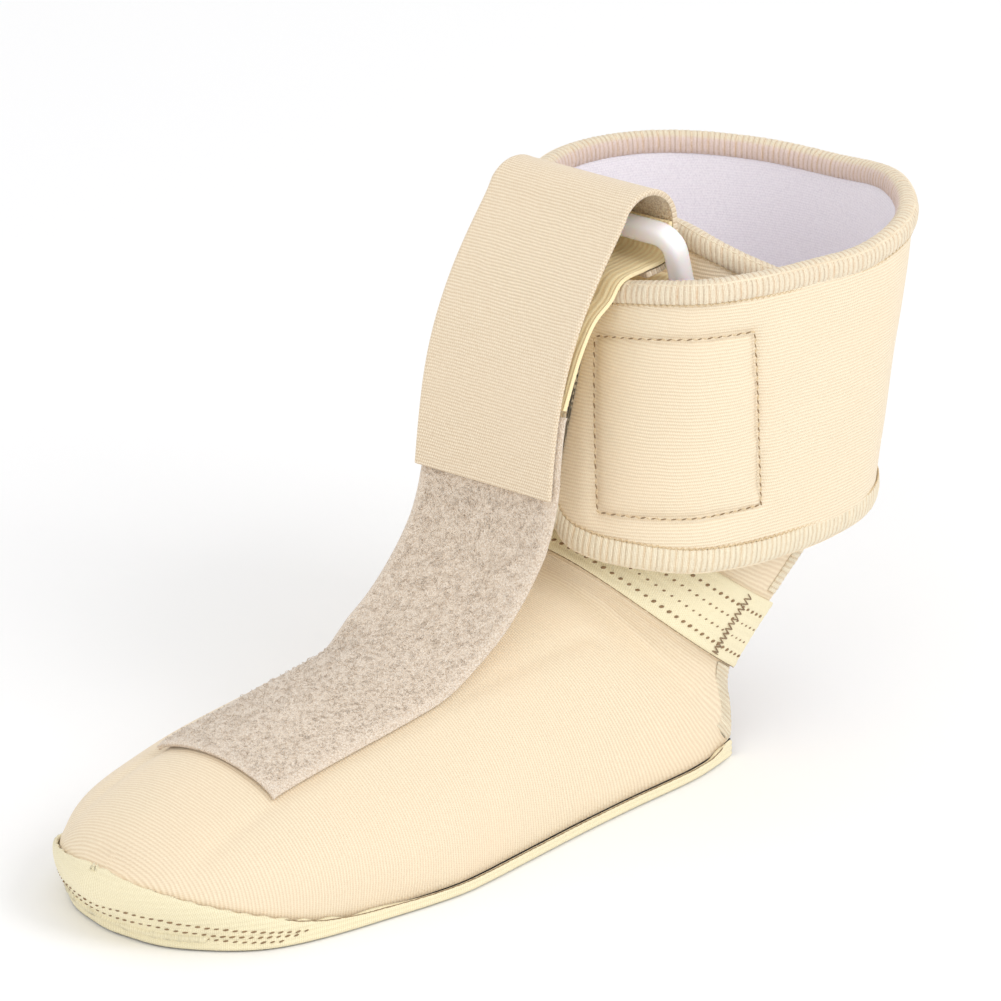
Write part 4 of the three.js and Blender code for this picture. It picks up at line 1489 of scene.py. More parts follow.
@dataclass
class FootSleeve:
    """The foot part: knitted upper, sole, binding, ankle band and the wound free edges."""

    form: FootForm
    finishes: Finishes
    columns: int = 150
    rows: int = 110
    last_over_sole: int = 100
    binding_stand: float = 1.85
    below: float = 3.7
    toe_height: float = 18.5
    side_height: float = -0.9
    # where the painted shadow line along the binding's top edge runs
    shadow_line_below: float = 8.0
    shadow_line_end: float = 98.0
    binding_wall: float = 1.1
    band_stand: float = 1.55
    band_wall: float = 1.2
    heel_corner: float = 24.0
    band_low: float = 28.0
    band_high: float = 30.0
    most_swell: float = 0.9
    drawn_in: float = 0.5
    last_row: float = 20.0
    coarse: tuple[int, int] = (137, 101)
    strip_edge: float = 22.5
    strip_end: float = 20.0
    knit_row: float = 5.0
    knit_bends: tuple[float, float, float] = (5.0, 10.0, 14.0)
    edge_drop: float = 1.1
    toe_share: float = 0.5
    toe_fall: float = 1.5
    heel_rise: float = 1.5
    binding_end: float = 23.0
    rib_pitch: float = 1.5
    band_ribs: int = 9

    def _over_sole(self, points: np.ndarray, columns: np.ndarray) -> np.ndarray:
        """How far points of the upper lie above the binding.

        Args:
            points: the points, columns by rows, from edge to edge.
            columns: their columns.

        Returns:
            Lengths in millimetres, measured on the surface.
        """
        high = lengths_along(points, 1)
        return np.minimum(high, high[:, -1:] - high) - self._binding_height(columns)[:, None]

    def _swell(self, columns: np.ndarray, rows: np.ndarray) -> np.ndarray:
        """Simulated swell of the upper between the sole, the loop strip and the ankle band.

        Args:
            columns: columns of the fine grid.
            rows: its rows.

        Returns:
            Distances in millimetres, columns by rows.
        """
        coarse_columns = np.linspace(0, self.form.last, self.coarse[0])
        coarse_rows = np.linspace(0, self.last_row, self.coarse[1])
        points = self.form.at(coarse_columns, coarse_rows)
        sole = self._over_sole(points, coarse_columns)
        band = self.band_low - coarse_columns[:, None]
        past_strip = 4 * np.maximum(coarse_columns - self.strip_end, 0)[:, None]
        strap = np.abs(np.abs(points[..., 0]) - self.strip_edge) + past_strip
        held = most_held((sole, 0.5, 3.0), (band, 0.5, 2.0), (strap, 0.8, 2.2))
        swell = Puff(most=self.most_swell).swell(points, held)
        return regrid(swell, coarse_columns, coarse_rows, columns, rows)

    def upper(self) -> bpy.types.Object:
        """The knitted upper, with ridges that run across the foot.

        Returns:
            The upper.
        """
        columns = np.linspace(0, self.form.last, self.columns + 1)
        rows = np.linspace(0, self.last_row, self.rows + 1)
        points = self.form.at(columns, rows)
        first, bend, last = self.knit_bends
        middle = self.form.at(columns, np.array([self.knit_row]))[:, 0]
        length = lengths_along(middle)
        level = np.interp(bend, columns, middle[:, 1]) + length - np.interp(bend, columns, length)
        level = np.where(columns < bend, middle[:, 1], level)
        share = smoothstep(columns, first, last)[:, None]
        along = points[..., 1] * (1 - share) + level[:, None] * share
        marks = np.stack([along, lengths_along(points, 1)], -1)
        out = normals_of(points)
        high = self._over_sole(points, columns)
        fade = smoothstep(high, 0, 5) * smoothstep(self.band_low - columns, 0, 3)[:, None]
        moved = sway(points, 0.5, 24, 3.1) * fade
        moved = moved + (self._swell(columns, rows) - self.drawn_in) * fade
        points = points + out * moved[..., None]
        points[: self.last_over_sole, [0, -1], 2] -= self.edge_drop
        piece = laid_grid("foot_upper_knit", points, marks)
        thicken(piece, UPPER_WALL, 0.5)
        finish_piece(piece, "upper_fabric", self.finishes.upper, replaces=("foot_upper",))
        return piece

    def sole(self) -> None:
        """The sole stays as packed, in its own finish."""
        node = frame["nodes"]["sole"]
        node.data.materials.clear()
        node.data.materials.append(self.finishes.sole)

    def _binding_height(self, columns: np.ndarray) -> np.ndarray:
        """How high the binding stands.

        Args:
            columns: columns of the foot form.

        Returns:
            Heights above the upper's lower edge, in millimetres.
        """
        toe = np.cos(np.minimum(columns / self.heel_corner / self.toe_share, 1) * np.pi) / 2 + 0.5
        heel = smoothstep(columns, 21.0, 22.6) * self.heel_rise
        return self.side_height + (self.toe_height - self.side_height) * toe**self.toe_fall + heel

    def binding(self) -> bpy.types.Object:
        """The ribbed knitted band over the sole's edge, high round the toes.

        Returns:
            The band.
        """
        columns = np.linspace(0, self.binding_end, 220)
        grid = self.form.at(columns, np.linspace(0, 7, 90))
        lengths = lengths_along(grid, 1)
        half = np.zeros((len(columns), 80, 3))
        for c, height in enumerate(self._binding_height(columns)):
            wanted = np.linspace(-self.below, height, half.shape[1])
            for k in range(3):
                half[c, :, k] = np.interp(wanted, lengths[c], grid[c, :, k])
            half[c, :, 2] += np.minimum(wanted, 0)
        points = softened(np.concatenate([half[:0:-1] * np.array([-1.0, 1, 1]), half]), 9)
        out = unit(softened(normals_of(points), 15))
        high = lengths_along(points, 1)
        total = high[:, -1:]
        share = high / total
        ribs = 0.5 - 0.5 * np.cos(2 * np.pi * high / self.rib_pitch)
        roll = smoothstep(np.minimum(high, total - high), 0, 0.9)
        points = points + out * (self.binding_stand - 0.35 + 0.18 * ribs + 0.17 * roll)[..., None]
        along = lengths_along(points[:, -12])[:, None] + 0 * high
        marks = np.stack([along, high], -1)
        piece = laid_grid("toe_binding", points, marks)
        thicken(piece, self.binding_wall)
        finish_piece(piece, "knit_trim", self.finishes.band, replaces=("sole_binding",))
        self._binding_stitches(points, out, share, total)
        return piece

    def _binding_stitches(
        self, points: np.ndarray, out: np.ndarray, share: np.ndarray, total: np.ndarray
    ) -> None:
        """Rows of sunk stitches where the binding is high enough, and a line of dark beads above its low
        sides: a painted shadow where the upper meets the binding.

        Args:
            points: the binding's points, along by up.
            out: directions out of it.
            share: shares of its height.
            total: its height at each place along.
        """
        row = StitchRow(length=1.6, thickness=0.55, pitch=2.4, slant=0.3, lift=0.1)
        places = []
        for level, least in ((0.56, 6.0), (0.38, 6.6), (0.21, 8.0)):
            kept = total[:, 0] > least
            picked = np.arange(len(points)), np.argmin(np.abs(share - level), axis=1)
            places.append(row.places(points[picked][kept], out[picked][kept]))
        # painted shadow: dark beads along the binding's top edge where it runs low
        shadow_line = StitchRow(length=2.6, thickness=0.36, pitch=1.9, slant=0.0, lift=-0.05)
        narrow = (total[:, 0] < self.shadow_line_below) & (points[:, -1, 1] < self.shadow_line_end)
        for part in (slice(0, len(points) // 2), slice(len(points) // 2, len(points))):
            kept = narrow[part]
            places.append(shadow_line.places(points[part, -1][kept], out[part, -1][kept]))
        sew("binding_stitches_and_shadow_line", places, "knit_trim", self.finishes.dark_thread_and_shade)

    def ankle_band(self) -> bpy.types.Object:
        """The ribbed elastic band round the front of the ankle, with its rows of holes as dark beads of
        painted shade and a painted shadow line along its lower edge.

        Returns:
            The band.
        """
        columns = np.linspace(self.band_low, self.band_high, 56)
        points = self.form.at(columns, np.linspace(0, self.last_row, 240))
        out = normals_of(points)
        high = lengths_along(points)
        ribs = np.abs(np.sin(np.pi * high / high[-1:] * self.band_ribs)) ** 0.6
        roll = smoothstep(np.minimum(high, high[-1:] - high), 0, 0.8)
        points = points + out * (self.band_stand - 0.3 + 0.17 * ribs + 0.13 * roll)[..., None]
        marks = np.stack([lengths_along(points, 1), high], -1)
        piece = laid_grid("ankle_elastic", points, marks)
        thicken(piece, self.band_wall, 0.2)
        finish_piece(piece, "knit_trim", self.finishes.band, replaces=("ankle_band",))
        places = []
        # the holes are solid dark beads: painted shade where the holes are
        for k, (level, size) in enumerate(((0.2, 1.5), (0.40, 1.0), (0.60, 1.1), (0.78, 1.5))):
            line_at = int(round(level * (len(columns) - 1)))
            hole = StitchRow(length=size, thickness=0.55 * size, pitch=2.7, slant=0.6, lift=0.0)
            places.append(hole.places(points[line_at], out[line_at], shift=0.5 * (k % 2)))
        # painted shadow: a line of dark beads sunk along the band's lower edge
        shadow_line = StitchRow(length=2.6, thickness=0.32, pitch=2.0, slant=0.0, lift=-0.1)
        places.append(shadow_line.places(points[0], out[0]))
        sew("ankle_elastic_holes_and_shadow_line", places, "knit_trim", self.finishes.dark_thread_and_shade)
        self._bartack(points, out)
        return piece

    def _bartack(self, points: np.ndarray, out: np.ndarray) -> None:
        """Zigzag tacks across the band near its two ends.

        Args:
            points: the band's points, up by along.
            out: directions out of it.
        """
        places = []
        draws = np.random.default_rng(5)
        count = 26
        levels = np.linspace(3, len(points) - 4, count).astype(int)
        shift = np.where(np.arange(count) % 2, 2, -2)
        for end in (16, len(points[0]) - 17):
            line = points[levels, end + shift] + draws.uniform(-0.15, 0.15, (count, 3))
            normal = out[levels, end]
            middle = (line[1:] + line[:-1]) / 2 + normal[1:] * 0.15
            along = np.diff(line, axis=0)
            half = np.linalg.norm(along, axis=1, keepdims=True) / 2
            sizes = np.concatenate([half * 1.05, 0 * half + 0.2, 0 * half + 0.2], axis=1)
            places.append(placed(middle, along, normal[1:], sizes))
        sew("ankle_elastic_tacks", places, "knit_trim", self.finishes.dark_thread_and_shade)

    def wound_edges(self) -> None:
        """Overlocked free edges of the upper: beside the heel opening and on the panel above the band."""
        work = Overlock(wall=UPPER_WALL, lift=0.25, pitch=1.3, relief=0.22, crown=0.25, seed=7)
        spans = {
            "heel_edge": (self.heel_corner - 0.9, self.band_low - 0.1, 8.5),
            "panel_edge": (self.band_high + 0.2, self.form.last, 5.0),
        }
        for name, (start, end, width) in spans.items():
            columns = np.linspace(start, end, 60)
            for side, row, step in (("right", 0.0, 0.4), ("left", self.last_row, -0.4)):
                rows = np.full(len(columns), row)
                rim = self.form.at_pairs(columns, rows)
                inward = unit(self.form.at_pairs(columns, rows + step) - rim)
                along = np.gradient(rim, axis=0)
                out = unit(np.cross(along, inward)) * (1 if side == "right" else -1)
                sleeve = replace(work, width=width)
                piece = sleeve.build(f"{name}_{side}", rim, inward, out)
                finish_piece(piece, "upper_fabric", self.finishes.edge_thread)

    def build(self) -> bpy.types.Object:
        """Builds the whole foot part.

        Returns:
            Its upper.
        """
        upper = self.upper()
        self.sole()
        self.binding()
        self.ankle_band()
        self.wound_edges()
        return upper


@dataclass
class Cuff:
    """The padded cuff: shell, lining, wound rims, hook patch and the sewn square."""

    finishes: Finishes
    around: int = 380
    upward: int = 80
    far_off: float = 99.0
    most_swell: float = 1.2
    drawn_in: float = 0.7
    corners: tuple[tuple[float, float], ...] = (
        (1.55, 0.805), (4.905, 0.815), (5.28, 0.205), (2.135, 0.173),
    )
    past_square: float = 7.0
    coarse: tuple[int, int] = (191, 43)
    unevenness: tuple[float, float, float] = (0.6, 22, 8.2)
    lining_inset: float = 1.5
    rim_step: float = 0.03
    patch_turn: float = 47.0
    patch_half: float = 24.0
    patch_low: float = 16.0
    patch_high: float = 64.0

    def _seam_lines(self) -> list[np.ndarray]:
        """The sewn square's sides.

        Returns:
            Four lines of (place, up) points.
        """
        lines = []
        for start, end in zip(self.corners, self.corners[1:] + self.corners[:1]):
            share = np.linspace(0, 1, 60)[:, None]
            lines.append(np.array(start) * (1 - share) + np.array(end) * share)
        return lines

    def _from_seam(self, points: np.ndarray, place: np.ndarray) -> np.ndarray:
        """Distance of the shell from the sewn square's seam.

        Args:
            points: points of the shell, along by up.
            place: their places over the sections.

        Returns:
            Distances in millimetres, far_off where the square isn't near.
        """
        seam = np.concatenate([CuffForm.at(line[:, 0], line[:, 1]) for line in self._seam_lines()])
        near = np.full(points.shape[:2], self.far_off)
        block = np.broadcast_to(place, points.shape[:2]) < self.past_square
        near[block] = np.min(np.linalg.norm(points[block][:, None] - seam[None], axis=-1), axis=1)
        return near

    def _swell(self, place: np.ndarray, up: np.ndarray) -> np.ndarray:
        """Simulated swell of the shell between its rims and the sewn square.

        Args:
            place: places of the fine grid over the sections.
            up: its places up the shell.

        Returns:
            Distances in millimetres, along by up.
        """
        coarse_place = np.linspace(0, LAST_SECTION, self.coarse[0])
        coarse_up = np.linspace(0, 1, self.coarse[1])
        points = CuffForm.at(coarse_place[:, None], coarse_up[None, :])
        across = np.minimum(coarse_place, LAST_SECTION - coarse_place)[:, None]
        rims = np.minimum(coarse_up, 1 - coarse_up)[None, :]
        near = self._from_seam(points, coarse_place[:, None])
        held = most_held((rims, 0.04, 0.08), (across, 0.15, 0.4), (near, 0.8, 2.0))
        swell = Puff(most=self.most_swell).swell(points, held)
        return regrid(swell, coarse_place, coarse_up, place, up)

    def shell(self) -> bpy.types.Object:
        """The padded outer cloth.

        Returns:
            The shell.
        """
        place = np.linspace(0, LAST_SECTION, self.around + 1)[:, None]
        up = np.linspace(0, 1, self.upward + 1)[None, :]
        points = CuffForm.at(place, up)
        out = normals_of(points)
        marks = self._marks(points)
        near = self._from_seam(points, place)
        groove = 0.5 * np.exp(-(near / 0.9) ** 2) + 0.25 * np.exp(-(near / 4.0) ** 2)
        fade = smoothstep(up, 0, 0.1) * smoothstep(1 - up, 0, 0.1)
        moved = sway(points, *self.unevenness) * fade - groove
        moved = moved + self._swell(place[:, 0], up[0]) - self.drawn_in * fade
        points = points + out * moved[..., None]
        piece = laid_grid("cuff_shell", points, marks)
        thicken(piece, CUFF_WALL, 0.5)
        finish_piece(piece, "cuff_fabric", self.finishes.cuff, replaces=("cuff",))
        return piece

    @staticmethod
    def _marks(points: np.ndarray) -> np.ndarray:
        """Cloth coordinates of the cuff: length along its middle, and height.

        Args:
            points: points of the cloth, along by up.

        Returns:
            The coordinates in millimetres, along by up.
        """
        along = lengths_along(points[:, points.shape[1] // 2])
        return np.stack([np.broadcast_to(along[:, None], points.shape[:2]), points[..., 2]], -1)

    def lining(self) -> bpy.types.Object:
        """The knitted lining.

        Returns:
            The lining.
        """
        inset = self.lining_inset / CUFF_HEIGHT
        place = np.linspace(0.15, LAST_SECTION - 0.15, 260)[:, None]
        up = np.linspace(inset, 1 - inset, 56)[None, :]
        face = CuffForm.at(place, up)
        out = normals_of(face)
        points = face - out * (CUFF_WALL + GAP)
        points = points + out * (sway(points, 0.15, 14, 1.7) - 0.15)[..., None]
        marks = self._marks(points)
        piece = laid_grid("cuff_lining_knit", points, marks)
        thicken(piece, LINING_WALL)
        finish_piece(piece, "lining_knit", self.finishes.lining, replaces=("cuff_lining",))
        return piece

    def rims(self) -> None:
        """The wound rims: the upper one, the lower one and the front edges of both flaps."""
        place = np.linspace(0, LAST_SECTION, 900)
        for name, level, width in (("cuff_top_rim", 1.0, 5.6), ("cuff_bottom_rim", 0.0, 7.2)):
            beside_rim = np.full(len(place), abs(level - self.rim_step))
            rim = CuffForm.at(place, level)
            inward = unit(CuffForm.at(place, beside_rim) - rim)
            out = CuffForm.normals(place, beside_rim)
            piece = Overlock(width=width, seed=11 + int(level)).build(name, rim, inward, out)
            thread = self.finishes.rim_thread if level else self.finishes.edge_thread
            finish_piece(piece, "cuff_fabric", thread)
            self._border_chain(name + "_chain", rim, inward, out, width)
        up = np.linspace(0.02, 0.98, 200)
        ends = (("flap_front_rim", 0.0, 1), ("flap_inner_rim", float(LAST_SECTION), -1))
        for name, end, side in ends:
            rim = CuffForm.at(end, up)
            inward = unit(CuffForm.at(end + side * 0.05, up) - rim)
            rise = np.gradient(rim, axis=0)
            out = unit(np.cross(inward, rise)) * side
            piece = Overlock(width=5.0, seed=17).build(name, rim, inward, out)
            finish_piece(piece, "cuff_fabric", self.finishes.edge_thread)

    def _border_chain(
        self, name: str, rim: np.ndarray, inward: np.ndarray, out: np.ndarray, width: float
    ) -> None:
        """A chain of slanted stitches along the inner border of a rim.

        Args:
            name: the piece's name.
            rim: points of the rim.
            inward: directions from the rim into the cloth.
            out: directions out of the cloth.
            width: the rim's width.
        """
        line = rim + inward * (width - 0.1) + out * 0.25
        first = StitchRow(length=1.5, thickness=0.4, pitch=1.65, slant=0.75, lift=0.12)
        second = replace(first, slant=-0.75, lift=0.08)
        places = [first.places(line, out), second.places(line, out, shift=0.5)]
        sew(name, places, "cuff_fabric", self.finishes.pale_thread)

    def patch(self) -> bpy.types.Object:
        """The square hook patch on the inner face of the outer flap.

        Returns:
            The patch.
        """
        half = math.degrees(self.patch_half / CUFF_TOP_RADIUS)
        turns = np.linspace(self.patch_turn - half, self.patch_turn + half, 50)
        fine = np.linspace(0, LAST_SECTION, 4000)
        place = np.interp(turns, rows_at(SECTIONS, fine)[:, 0], fine)[:, None]
        up = np.linspace(self.patch_low, self.patch_high, 50)[None, :] / CUFF_HEIGHT
        points = CuffForm.at(place, up)
        points = points - normals_of(points) * (CUFF_WALL + LINING_WALL + 2 * GAP)
        marks = np.stack([lengths_along(points, 0), lengths_along(points, 1)], -1)
        piece = laid_grid("flap_hook_patch", points, marks)
        thicken(piece, 1.0, 0.2)
        finish_piece(piece, "hook_tape", self.finishes.hooks, replaces=("cuff_hook_patch",))
        return piece

    def sewn_square(self) -> None:
        """Dark dashes with pale thread between them along the square."""
        dark = StitchRow(length=1.6, thickness=0.45, pitch=2.7, slant=0.25, lift=-0.2)
        pale = StitchRow(length=1.5, thickness=0.5, pitch=2.7, slant=-0.3, lift=-0.1)
        dark_places, pale_places = [], []
        for line in self._seam_lines():
            points = CuffForm.at(line[:, 0], line[:, 1])
            out = CuffForm.normals(line[:, 0], line[:, 1])
            points = points + out * (sway(points, *self.unevenness) - 0.1)[..., None]
            dark_places.append(dark.places(points, out))
            pale_places.append(pale.places(points, out, shift=0.5))
        sew("square_stitches", dark_places, "cuff_fabric", self.finishes.dark_thread_and_shade)
        sew("square_thread", pale_places, "cuff_fabric", self.finishes.pale_thread)

    def build(self) -> None:
        """Builds the whole cuff."""
        self.shell()
        self.lining()
        self.rims()
        self.patch()
        self.sewn_square()


def strap_marks(along: np.ndarray, side: np.ndarray) -> np.ndarray:
    """Cloth coordinates of a flat strap.

    Args:
        along: lengths from its start.
        side: places across it.

    Returns:
        The coordinates, along by across.
    """
    return np.stack(np.broadcast_arrays(along[:, None], side[None, :]), -1)


@dataclass
class Ribbon:
    """A strap that follows a path, with selvedges at its two edges."""

    width: float
    turn: float
    selvedge: float = 1.8
    ridge: float = 0.1
    along: int = 260
    across: int = 60

    def points(self, path: Path, twist: np.ndarray | None = None) -> tuple[np.ndarray, np.ndarray]:
        """Places of the strap's outer face.

        Args:
            path: the middle line.
            twist: shares of the turn at each place along, or None for the whole turn.

        Returns:
            The points and the cloth coordinates, along by across.
        """
        share = np.linspace(0, 1, self.along)
        middle = path.at(share)
        side = self.width * (0.5 - np.linspace(0, 1, self.across))
        turn = self.turn * (np.ones(self.along) if twist is None else twist)
        x = np.cos(turn)[:, None] * side[None, :]
        y = middle[:, :1] + np.sin(turn)[:, None] * side[None, :]
        z = np.broadcast_to(middle[:, 1:], x.shape)
        points = np.stack([x, y, z], -1)
        edge = self.width / 2 - np.abs(side)
        bead = self.ridge * smoothstep(self.selvedge - edge, -0.4, 0.4)
        bead = bead - 0.35 * (1 - smoothstep(edge, 0, 0.7))
        points = points + normals_of(points) * bead[None, :, None]
        return points, strap_marks(share * path.length, side)


@dataclass
class Lift:
    """The parts that lift the toes: loop strip, lift strap, elastic webbing, ring and tab."""

    form: StrapForm
    finishes: Finishes
    height_on: HeightOn
    loops: int = 5200
    squareness: float = 0.55
    strip_rows: int = 240
    strip_half: int = 24
    strip_crown: float = 3.0
    crown_reach: float = 30.0
    webbing_rib: float = 1.6
    stitch_level: float = 0.18

    def lift_strap(self) -> bpy.types.Object:
        """The folded hook strap with fine ridges across its width.

        Returns:
            The strap.
        """
        path = self.form.lift_path()
        ribbon = Ribbon(self.form.WIDTH, self.form.TURN)
        points, marks = ribbon.points(path)
        points = points + normals_of(points) * sway(points, 0.35, 30, 5.5)[..., None]
        piece = laid_grid("lift_strap_weave", points, marks)
        thicken(piece, self.form.STRAP_WALL, 0.2)
        piece.modifiers["wall"].material_offset = 1
        faces = self.finishes.strap, self.finishes.hooks
        finish_piece(piece, "hook_tape", *faces, replaces=("lift_strap",))
        return piece

    def webbing(self) -> bpy.types.Object:
        """The elastic webbing behind the ring's top bar.

        Returns:
            The webbing.
        """
        path = Path(list(self.form.back()))
        ribbon = Ribbon(self.form.WIDTH, self.form.TURN, selvedge=3.2, ridge=0.25)
        points, marks = ribbon.points(path)
        ribs = 0.16 * np.abs(np.sin(np.pi * marks[0, :, 1] / self.webbing_rib)) ** 0.6
        points = points + normals_of(points) * (ribs - GAP / 2 - 0.3)[None, :, None]
        piece = laid_grid("lift_elastic", points, marks)
        thicken(piece, self.form.WEBBING_WALL - 0.3, 0.2)
        finish_piece(piece, "webbing", self.finishes.webbing, replaces=("lift_webbing",))
        return piece

    def tab(self) -> bpy.types.Object:
        """The webbing tab that holds the ring on the inner flap.

        Returns:
            The tab.
        """
        path = self.form.tab_path()
        ribbon = Ribbon(self.form.TAB_WIDTH, self.form.TURN, selvedge=3.0, ridge=0.2)
        middle = path.at(np.linspace(0, 1, ribbon.along))
        twist = smoothstep(middle[:, 1], self.form.bar[1] - self.form.TAB_DROP / 2, self.form.bar[1])
        points, marks = ribbon.points(path, twist)
        piece = laid_grid("ring_tab_elastic", points, marks)
        thicken(piece, self.form.TAB_WALL, 0.2)
        finish_piece(piece, "webbing", self.finishes.webbing, replaces=("ring_tab",))
        level = int(self.stitch_level * ribbon.along)
        row = StitchRow(length=1.7, thickness=0.4, pitch=2.2, slant=0.05)
        places = [row.places(points[level, 3:-3], normals_of(points)[level, 3:-3])]
        sew("ring_tab_stitches", places, "webbing", self.finishes.dark_thread_and_shade)
        return piece

    def ring(self) -> bpy.types.Object:
        """The moulded ring: a bar swept round four corners.

        Returns:
            The ring.
        """
        bar = self.form.RING_BAR
        corner = self.form.RING_CORNER
        half_width = (self.form.RING_OPENING_WIDTH + bar) / 2 - corner
        half_height = (self.form.RING_OPENING_HEIGHT + bar) / 2 - corner
        form = bmesh.new()
        start = Matrix.Translation((-half_width, 0, half_height + corner))
        start = start @ Matrix.Rotation(math.pi / 2, 4, "Y")
        made = bmesh.ops.create_circle(form, segments=20, radius=bar / 2, matrix=start)
        for vert in made["verts"]:
            y, z = vert.co.y, vert.co.z - (half_height + corner)
            square = (bar / 2 / max(abs(y), abs(z))) ** self.squareness
            vert.co.y, vert.co.z = y * square, z * square + half_height + corner
        ends = list({edge for vert in made["verts"] for edge in vert.link_edges})
        moves = [
            ((2 * half_width, 0, 0), (half_width, 0, half_height)),
            ((0, 0, -2 * half_height), (half_width, 0, -half_height)),
            ((-2 * half_width, 0, 0), (-half_width, 0, -half_height)),
            ((0, 0, 2 * half_height), (-half_width, 0, half_height)),
        ]
        for move, centre in moves:
            grown = bmesh.ops.extrude_edge_only(form, edges=ends)["geom"]
            verts = parts_of(grown, bmesh.types.BMVert)
            bmesh.ops.translate(form, verts=verts, vec=move)
            ends = parts_of(grown, bmesh.types.BMEdge)
            turned = bmesh.ops.spin(
                form, geom=[*verts, *ends], cent=centre, axis=(0, 1, 0), dvec=(0, 0, 0),
                angle=math.pi / 2, steps=8, use_merge=False, use_duplicate=False,
            )["geom_last"]
            ends = parts_of(turned, bmesh.types.BMEdge)
        bmesh.ops.remove_doubles(form, verts=form.verts, dist=1e-3)
        bmesh.ops.recalc_face_normals(form, faces=form.faces)
        drop = (self.form.RING_OPENING_HEIGHT + bar) / 2
        back = drop * math.sin(self.form.RING_LEAN)
        turn = self.form.TURN
        place = Matrix.Translation((
            -back * math.sin(turn),
            self.form.ring_top[0] + back * math.cos(turn),
            self.form.ring_top[1] - drop * math.cos(self.form.RING_LEAN),
        )) @ Matrix.Rotation(turn, 4, "Z") @ Matrix.Rotation(self.form.RING_LEAN, 4, "X")
        bmesh.ops.transform(form, matrix=Matrix.Scale(MM, 4) @ place, verts=form.verts)
        mesh = bpy.data.meshes.new("ring_bar")
        form.to_mesh(mesh)
        form.free()
        piece = object_from("ring_bar", mesh)
        return finish_piece(piece, "ring_plastic", self.finishes.plastic, replaces=("ring",))

    def loop_strip(self) -> bpy.types.Object:
        """The brushed loop strip, sewn along the instep and free up to the lift strap.

        Returns:
            The strip.
        """
        path = self.form.loop_path(self.height_on)
        shares = np.linspace(0, 1, self.strip_rows)
        points = np.array([self._strip_row(y, z) for y, z in path.at(shares)])
        side = self.form.WIDTH / 2 * np.linspace(1, -1, 2 * self.strip_half + 1)
        marks = strap_marks(shares * path.length, side)
        out = normals_of(points)
        edge = self.form.WIDTH / 2 - np.abs(side)
        ends = np.minimum(shares, 1 - shares) * path.length
        soft = smoothstep(edge, 0, 1.6)[None, :] * smoothstep(ends, 0, 1.2)[:, None]
        uneven = sway(points, 0.15, 2.2, 0.7) + sway(points, 0.3, 18, 9.7)
        lift = GAP + 1.25 + (0.6 + uneven) * soft
        face = points + out * lift[..., None]
        piece = laid_grid("loop_strip_pile", face, marks)
        thicken(piece, 1.3, 0.25)
        finish_piece(piece, "loop_pile", self.finishes.pile, replaces=("loop_strip",))
        self._pile(face, out)
        return piece

    def _strip_row(self, y: float, z: float) -> np.ndarray:
        """One row of the loop strip across its width.

        Args:
            y: place of its middle along the foot.
            z: height of its middle.

        Returns:
            Points from the right edge to the left one.
        """
        past = y - self.form.LEAVES_FOOT
        apart = float(smoothstep(np.array(past), -10, 10))
        crown = self.strip_crown * min(max(1 - past / self.crown_reach, 0), 1)
        turn = self.form.TURN * apart
        steps = np.linspace(0, 1, self.strip_half + 1)
        x = free_x = steps * self.form.WIDTH / 2
        drop = crown * steps**2
        if apart < 1:
            sewn_x, sewn_drop = self._across_foot(y)
            x = sewn_x + (free_x - sewn_x) * apart
            drop = sewn_drop + (drop - sewn_drop) * apart
        right = np.stack([x * math.cos(turn), y + x * math.sin(turn), z - drop], -1)
        left = np.stack([-x * math.cos(turn), y - x * math.sin(turn), z - drop], -1)
        return np.concatenate([right[::-1], left[1:]])

    def _across_foot(self, along: float) -> tuple[np.ndarray, np.ndarray]:
        """Places across the foot at equal steps on its surface, from the centre line outwards.

        Args:
            along: the place along the foot.

        Returns:
            Places across, and how far the surface drops there.
        """
        fine = np.linspace(0, self.form.WIDTH / 2, 40)
        heights = np.array([self.height_on(x, along) for x in fine])
        lengths = lengths_along(np.stack([fine, heights], -1))
        wanted = np.linspace(0, self.form.WIDTH / 2, self.strip_half + 1)
        x = np.interp(wanted, lengths, fine)
        return x, heights[0] - np.interp(x, fine, heights)

    def _pile(self, face: np.ndarray, out: np.ndarray) -> None:
        """Small standing loops of thread all over the strip.

        Args:
            face: points of the strip's face, along by across.
            out: directions out of it.
        """
        draws = np.random.default_rng(21)
        rows, columns = face.shape[:2]
        i = draws.uniform(2, rows - 3, self.loops)
        j = draws.uniform(2.5, columns - 3.5, self.loops)
        out = unit(read_between(out, i, j) + draws.uniform(-0.5, 0.5, (self.loops, 3)))
        along = unit(draws.normal(size=(self.loops, 3)))
        size = draws.uniform(0.3, 0.62, (self.loops, 1)) * np.array([[1.0, 1.0, 0.9]])
        places = placed(read_between(face, i, j), along, out, size)
        piece = repeated("loop_strip_tufts", thread_loop(), places)
        finish_piece(piece, "loop_pile", self.finishes.pile)

    def build(self) -> None:
        """Builds all the lifting parts."""
        self.ring()
        self.loop_strip()
        self.webbing()
        self.lift_strap()
        self.tab()


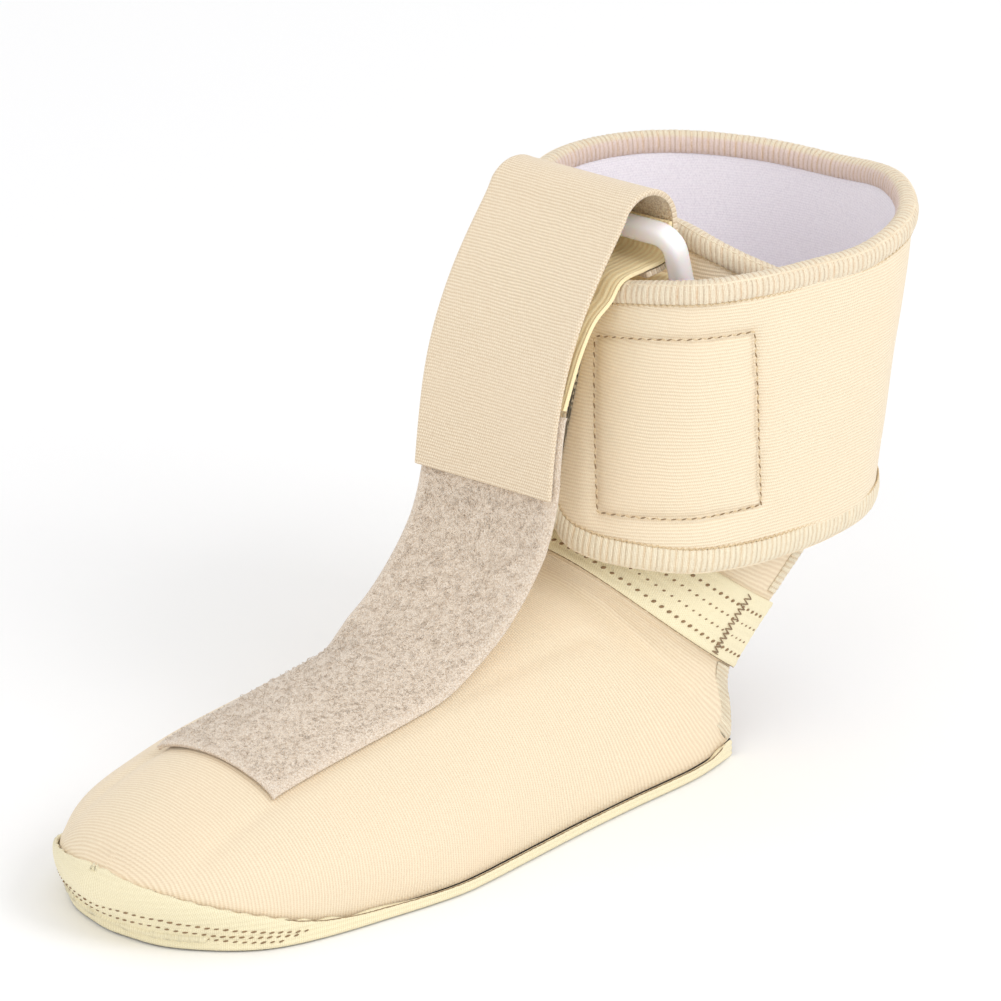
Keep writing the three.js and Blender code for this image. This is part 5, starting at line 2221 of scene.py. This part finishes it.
@dataclass
class Studio:
    """Floor, light and camera."""

    azimuth: float = 46.0
    elevation: float = 22.4
    distance: float = 2.2
    aim: tuple[float, float, float] = (0.0, 0.0505, 0.079)
    scale: float = 3820.0
    picture: int = 1001
    sensor: float = 36.0
    floor_size: float = 9.0
    cloud: float = 400.0
    floor_light: tuple[int, int, int] = (254, 254, 254)
    floor_dark: tuple[int, int, int] = (251, 251, 252)
    surroundings: float = 0.88

    def camera(self) -> None:
        """The camera at the photograph's angle."""
        a, e = math.radians(self.azimuth), math.radians(self.elevation)
        back = Vector((math.sin(a) * math.cos(e), -math.cos(a) * math.cos(e), math.sin(e)))
        data = bpy.data.cameras.new("camera")
        data.sensor_width = self.sensor
        data.lens = self.scale * self.distance / self.picture * self.sensor
        eye = bpy.data.objects.new("camera", data)
        eye.location = Vector(self.aim) + back * self.distance
        eye.rotation_euler = (-back).to_track_quat("-Z", "Y").to_euler()
        bpy.context.collection.objects.link(eye)
        bpy.context.scene.camera = eye

    def lamp(
        self, name: str, across: float, towards: float, up: float, size: float, power: float
    ) -> None:
        """A soft square lamp that points at the aim, placed from it in metres.

        Args:
            name: the lamp's name.
            across: how far to the right of the picture.
            towards: how far towards the camera, level with the floor.
            up: how far up.
            size: length of its side.
            power: its power in watts.
        """
        a = math.radians(self.azimuth)
        right = Vector((math.cos(a), math.sin(a), 0))
        front = Vector((math.sin(a), -math.cos(a), 0))
        data = bpy.data.lights.new(name, "AREA")
        data.size = size
        data.energy = power
        lamp = bpy.data.objects.new(name, data)
        lamp.location = Vector(self.aim) + right * across + front * towards + Vector((0, 0, up))
        lamp.rotation_euler = (Vector(self.aim) - lamp.location).to_track_quat("-Z", "Y").to_euler()
        bpy.context.collection.objects.link(lamp)

    def floor(self) -> None:
        """A wide pale floor."""
        form = bmesh.new()
        bmesh.ops.create_grid(form, x_segments=8, y_segments=8, size=self.floor_size)
        mesh = bpy.data.meshes.new("floor")
        form.to_mesh(mesh)
        form.free()
        floor = object_from("floor", mesh)
        recipe = Recipe("floor_paint")
        paint = recipe.mix(recipe.grain(self.cloud), linear(self.floor_light), linear(self.floor_dark))
        recipe.look(Base_Color=paint, Roughness=0.9)
        floor.data.materials.append(recipe.material)

    def world(self) -> None:
        """Even white surroundings."""
        world = bpy.data.worlds.new("studio")
        world.use_nodes = True
        ground = world.node_tree.nodes["Background"]
        ground.inputs[0].default_value = (1.0, 1.0, 1.0, 1.0)
        ground.inputs[1].default_value = self.surroundings
        bpy.context.scene.world = world
        bpy.context.scene.view_settings.view_transform = "Standard"

    def build(self) -> None:
        """Builds the studio."""
        self.camera()
        self.world()
        self.floor()
        self.lamp("key", across=1.5, towards=0.9, up=1.5, size=1.1, power=14.0)
        self.lamp("fill", across=-0.6, towards=1.7, up=1.1, size=1.4, power=5.0)


def main() -> None:
    """Builds the brace's parts in order."""
    logging.basicConfig(level=logging.INFO, format="%(name)s %(message)s")
    finishes = Finishes()
    Studio().build()
    upper = FootSleeve(FootForm(), finishes).build()
    Cuff(finishes).build()
    Lift(StrapForm(), finishes, HeightOn(upper)).build()


if __name__ == "__main__":
    main()
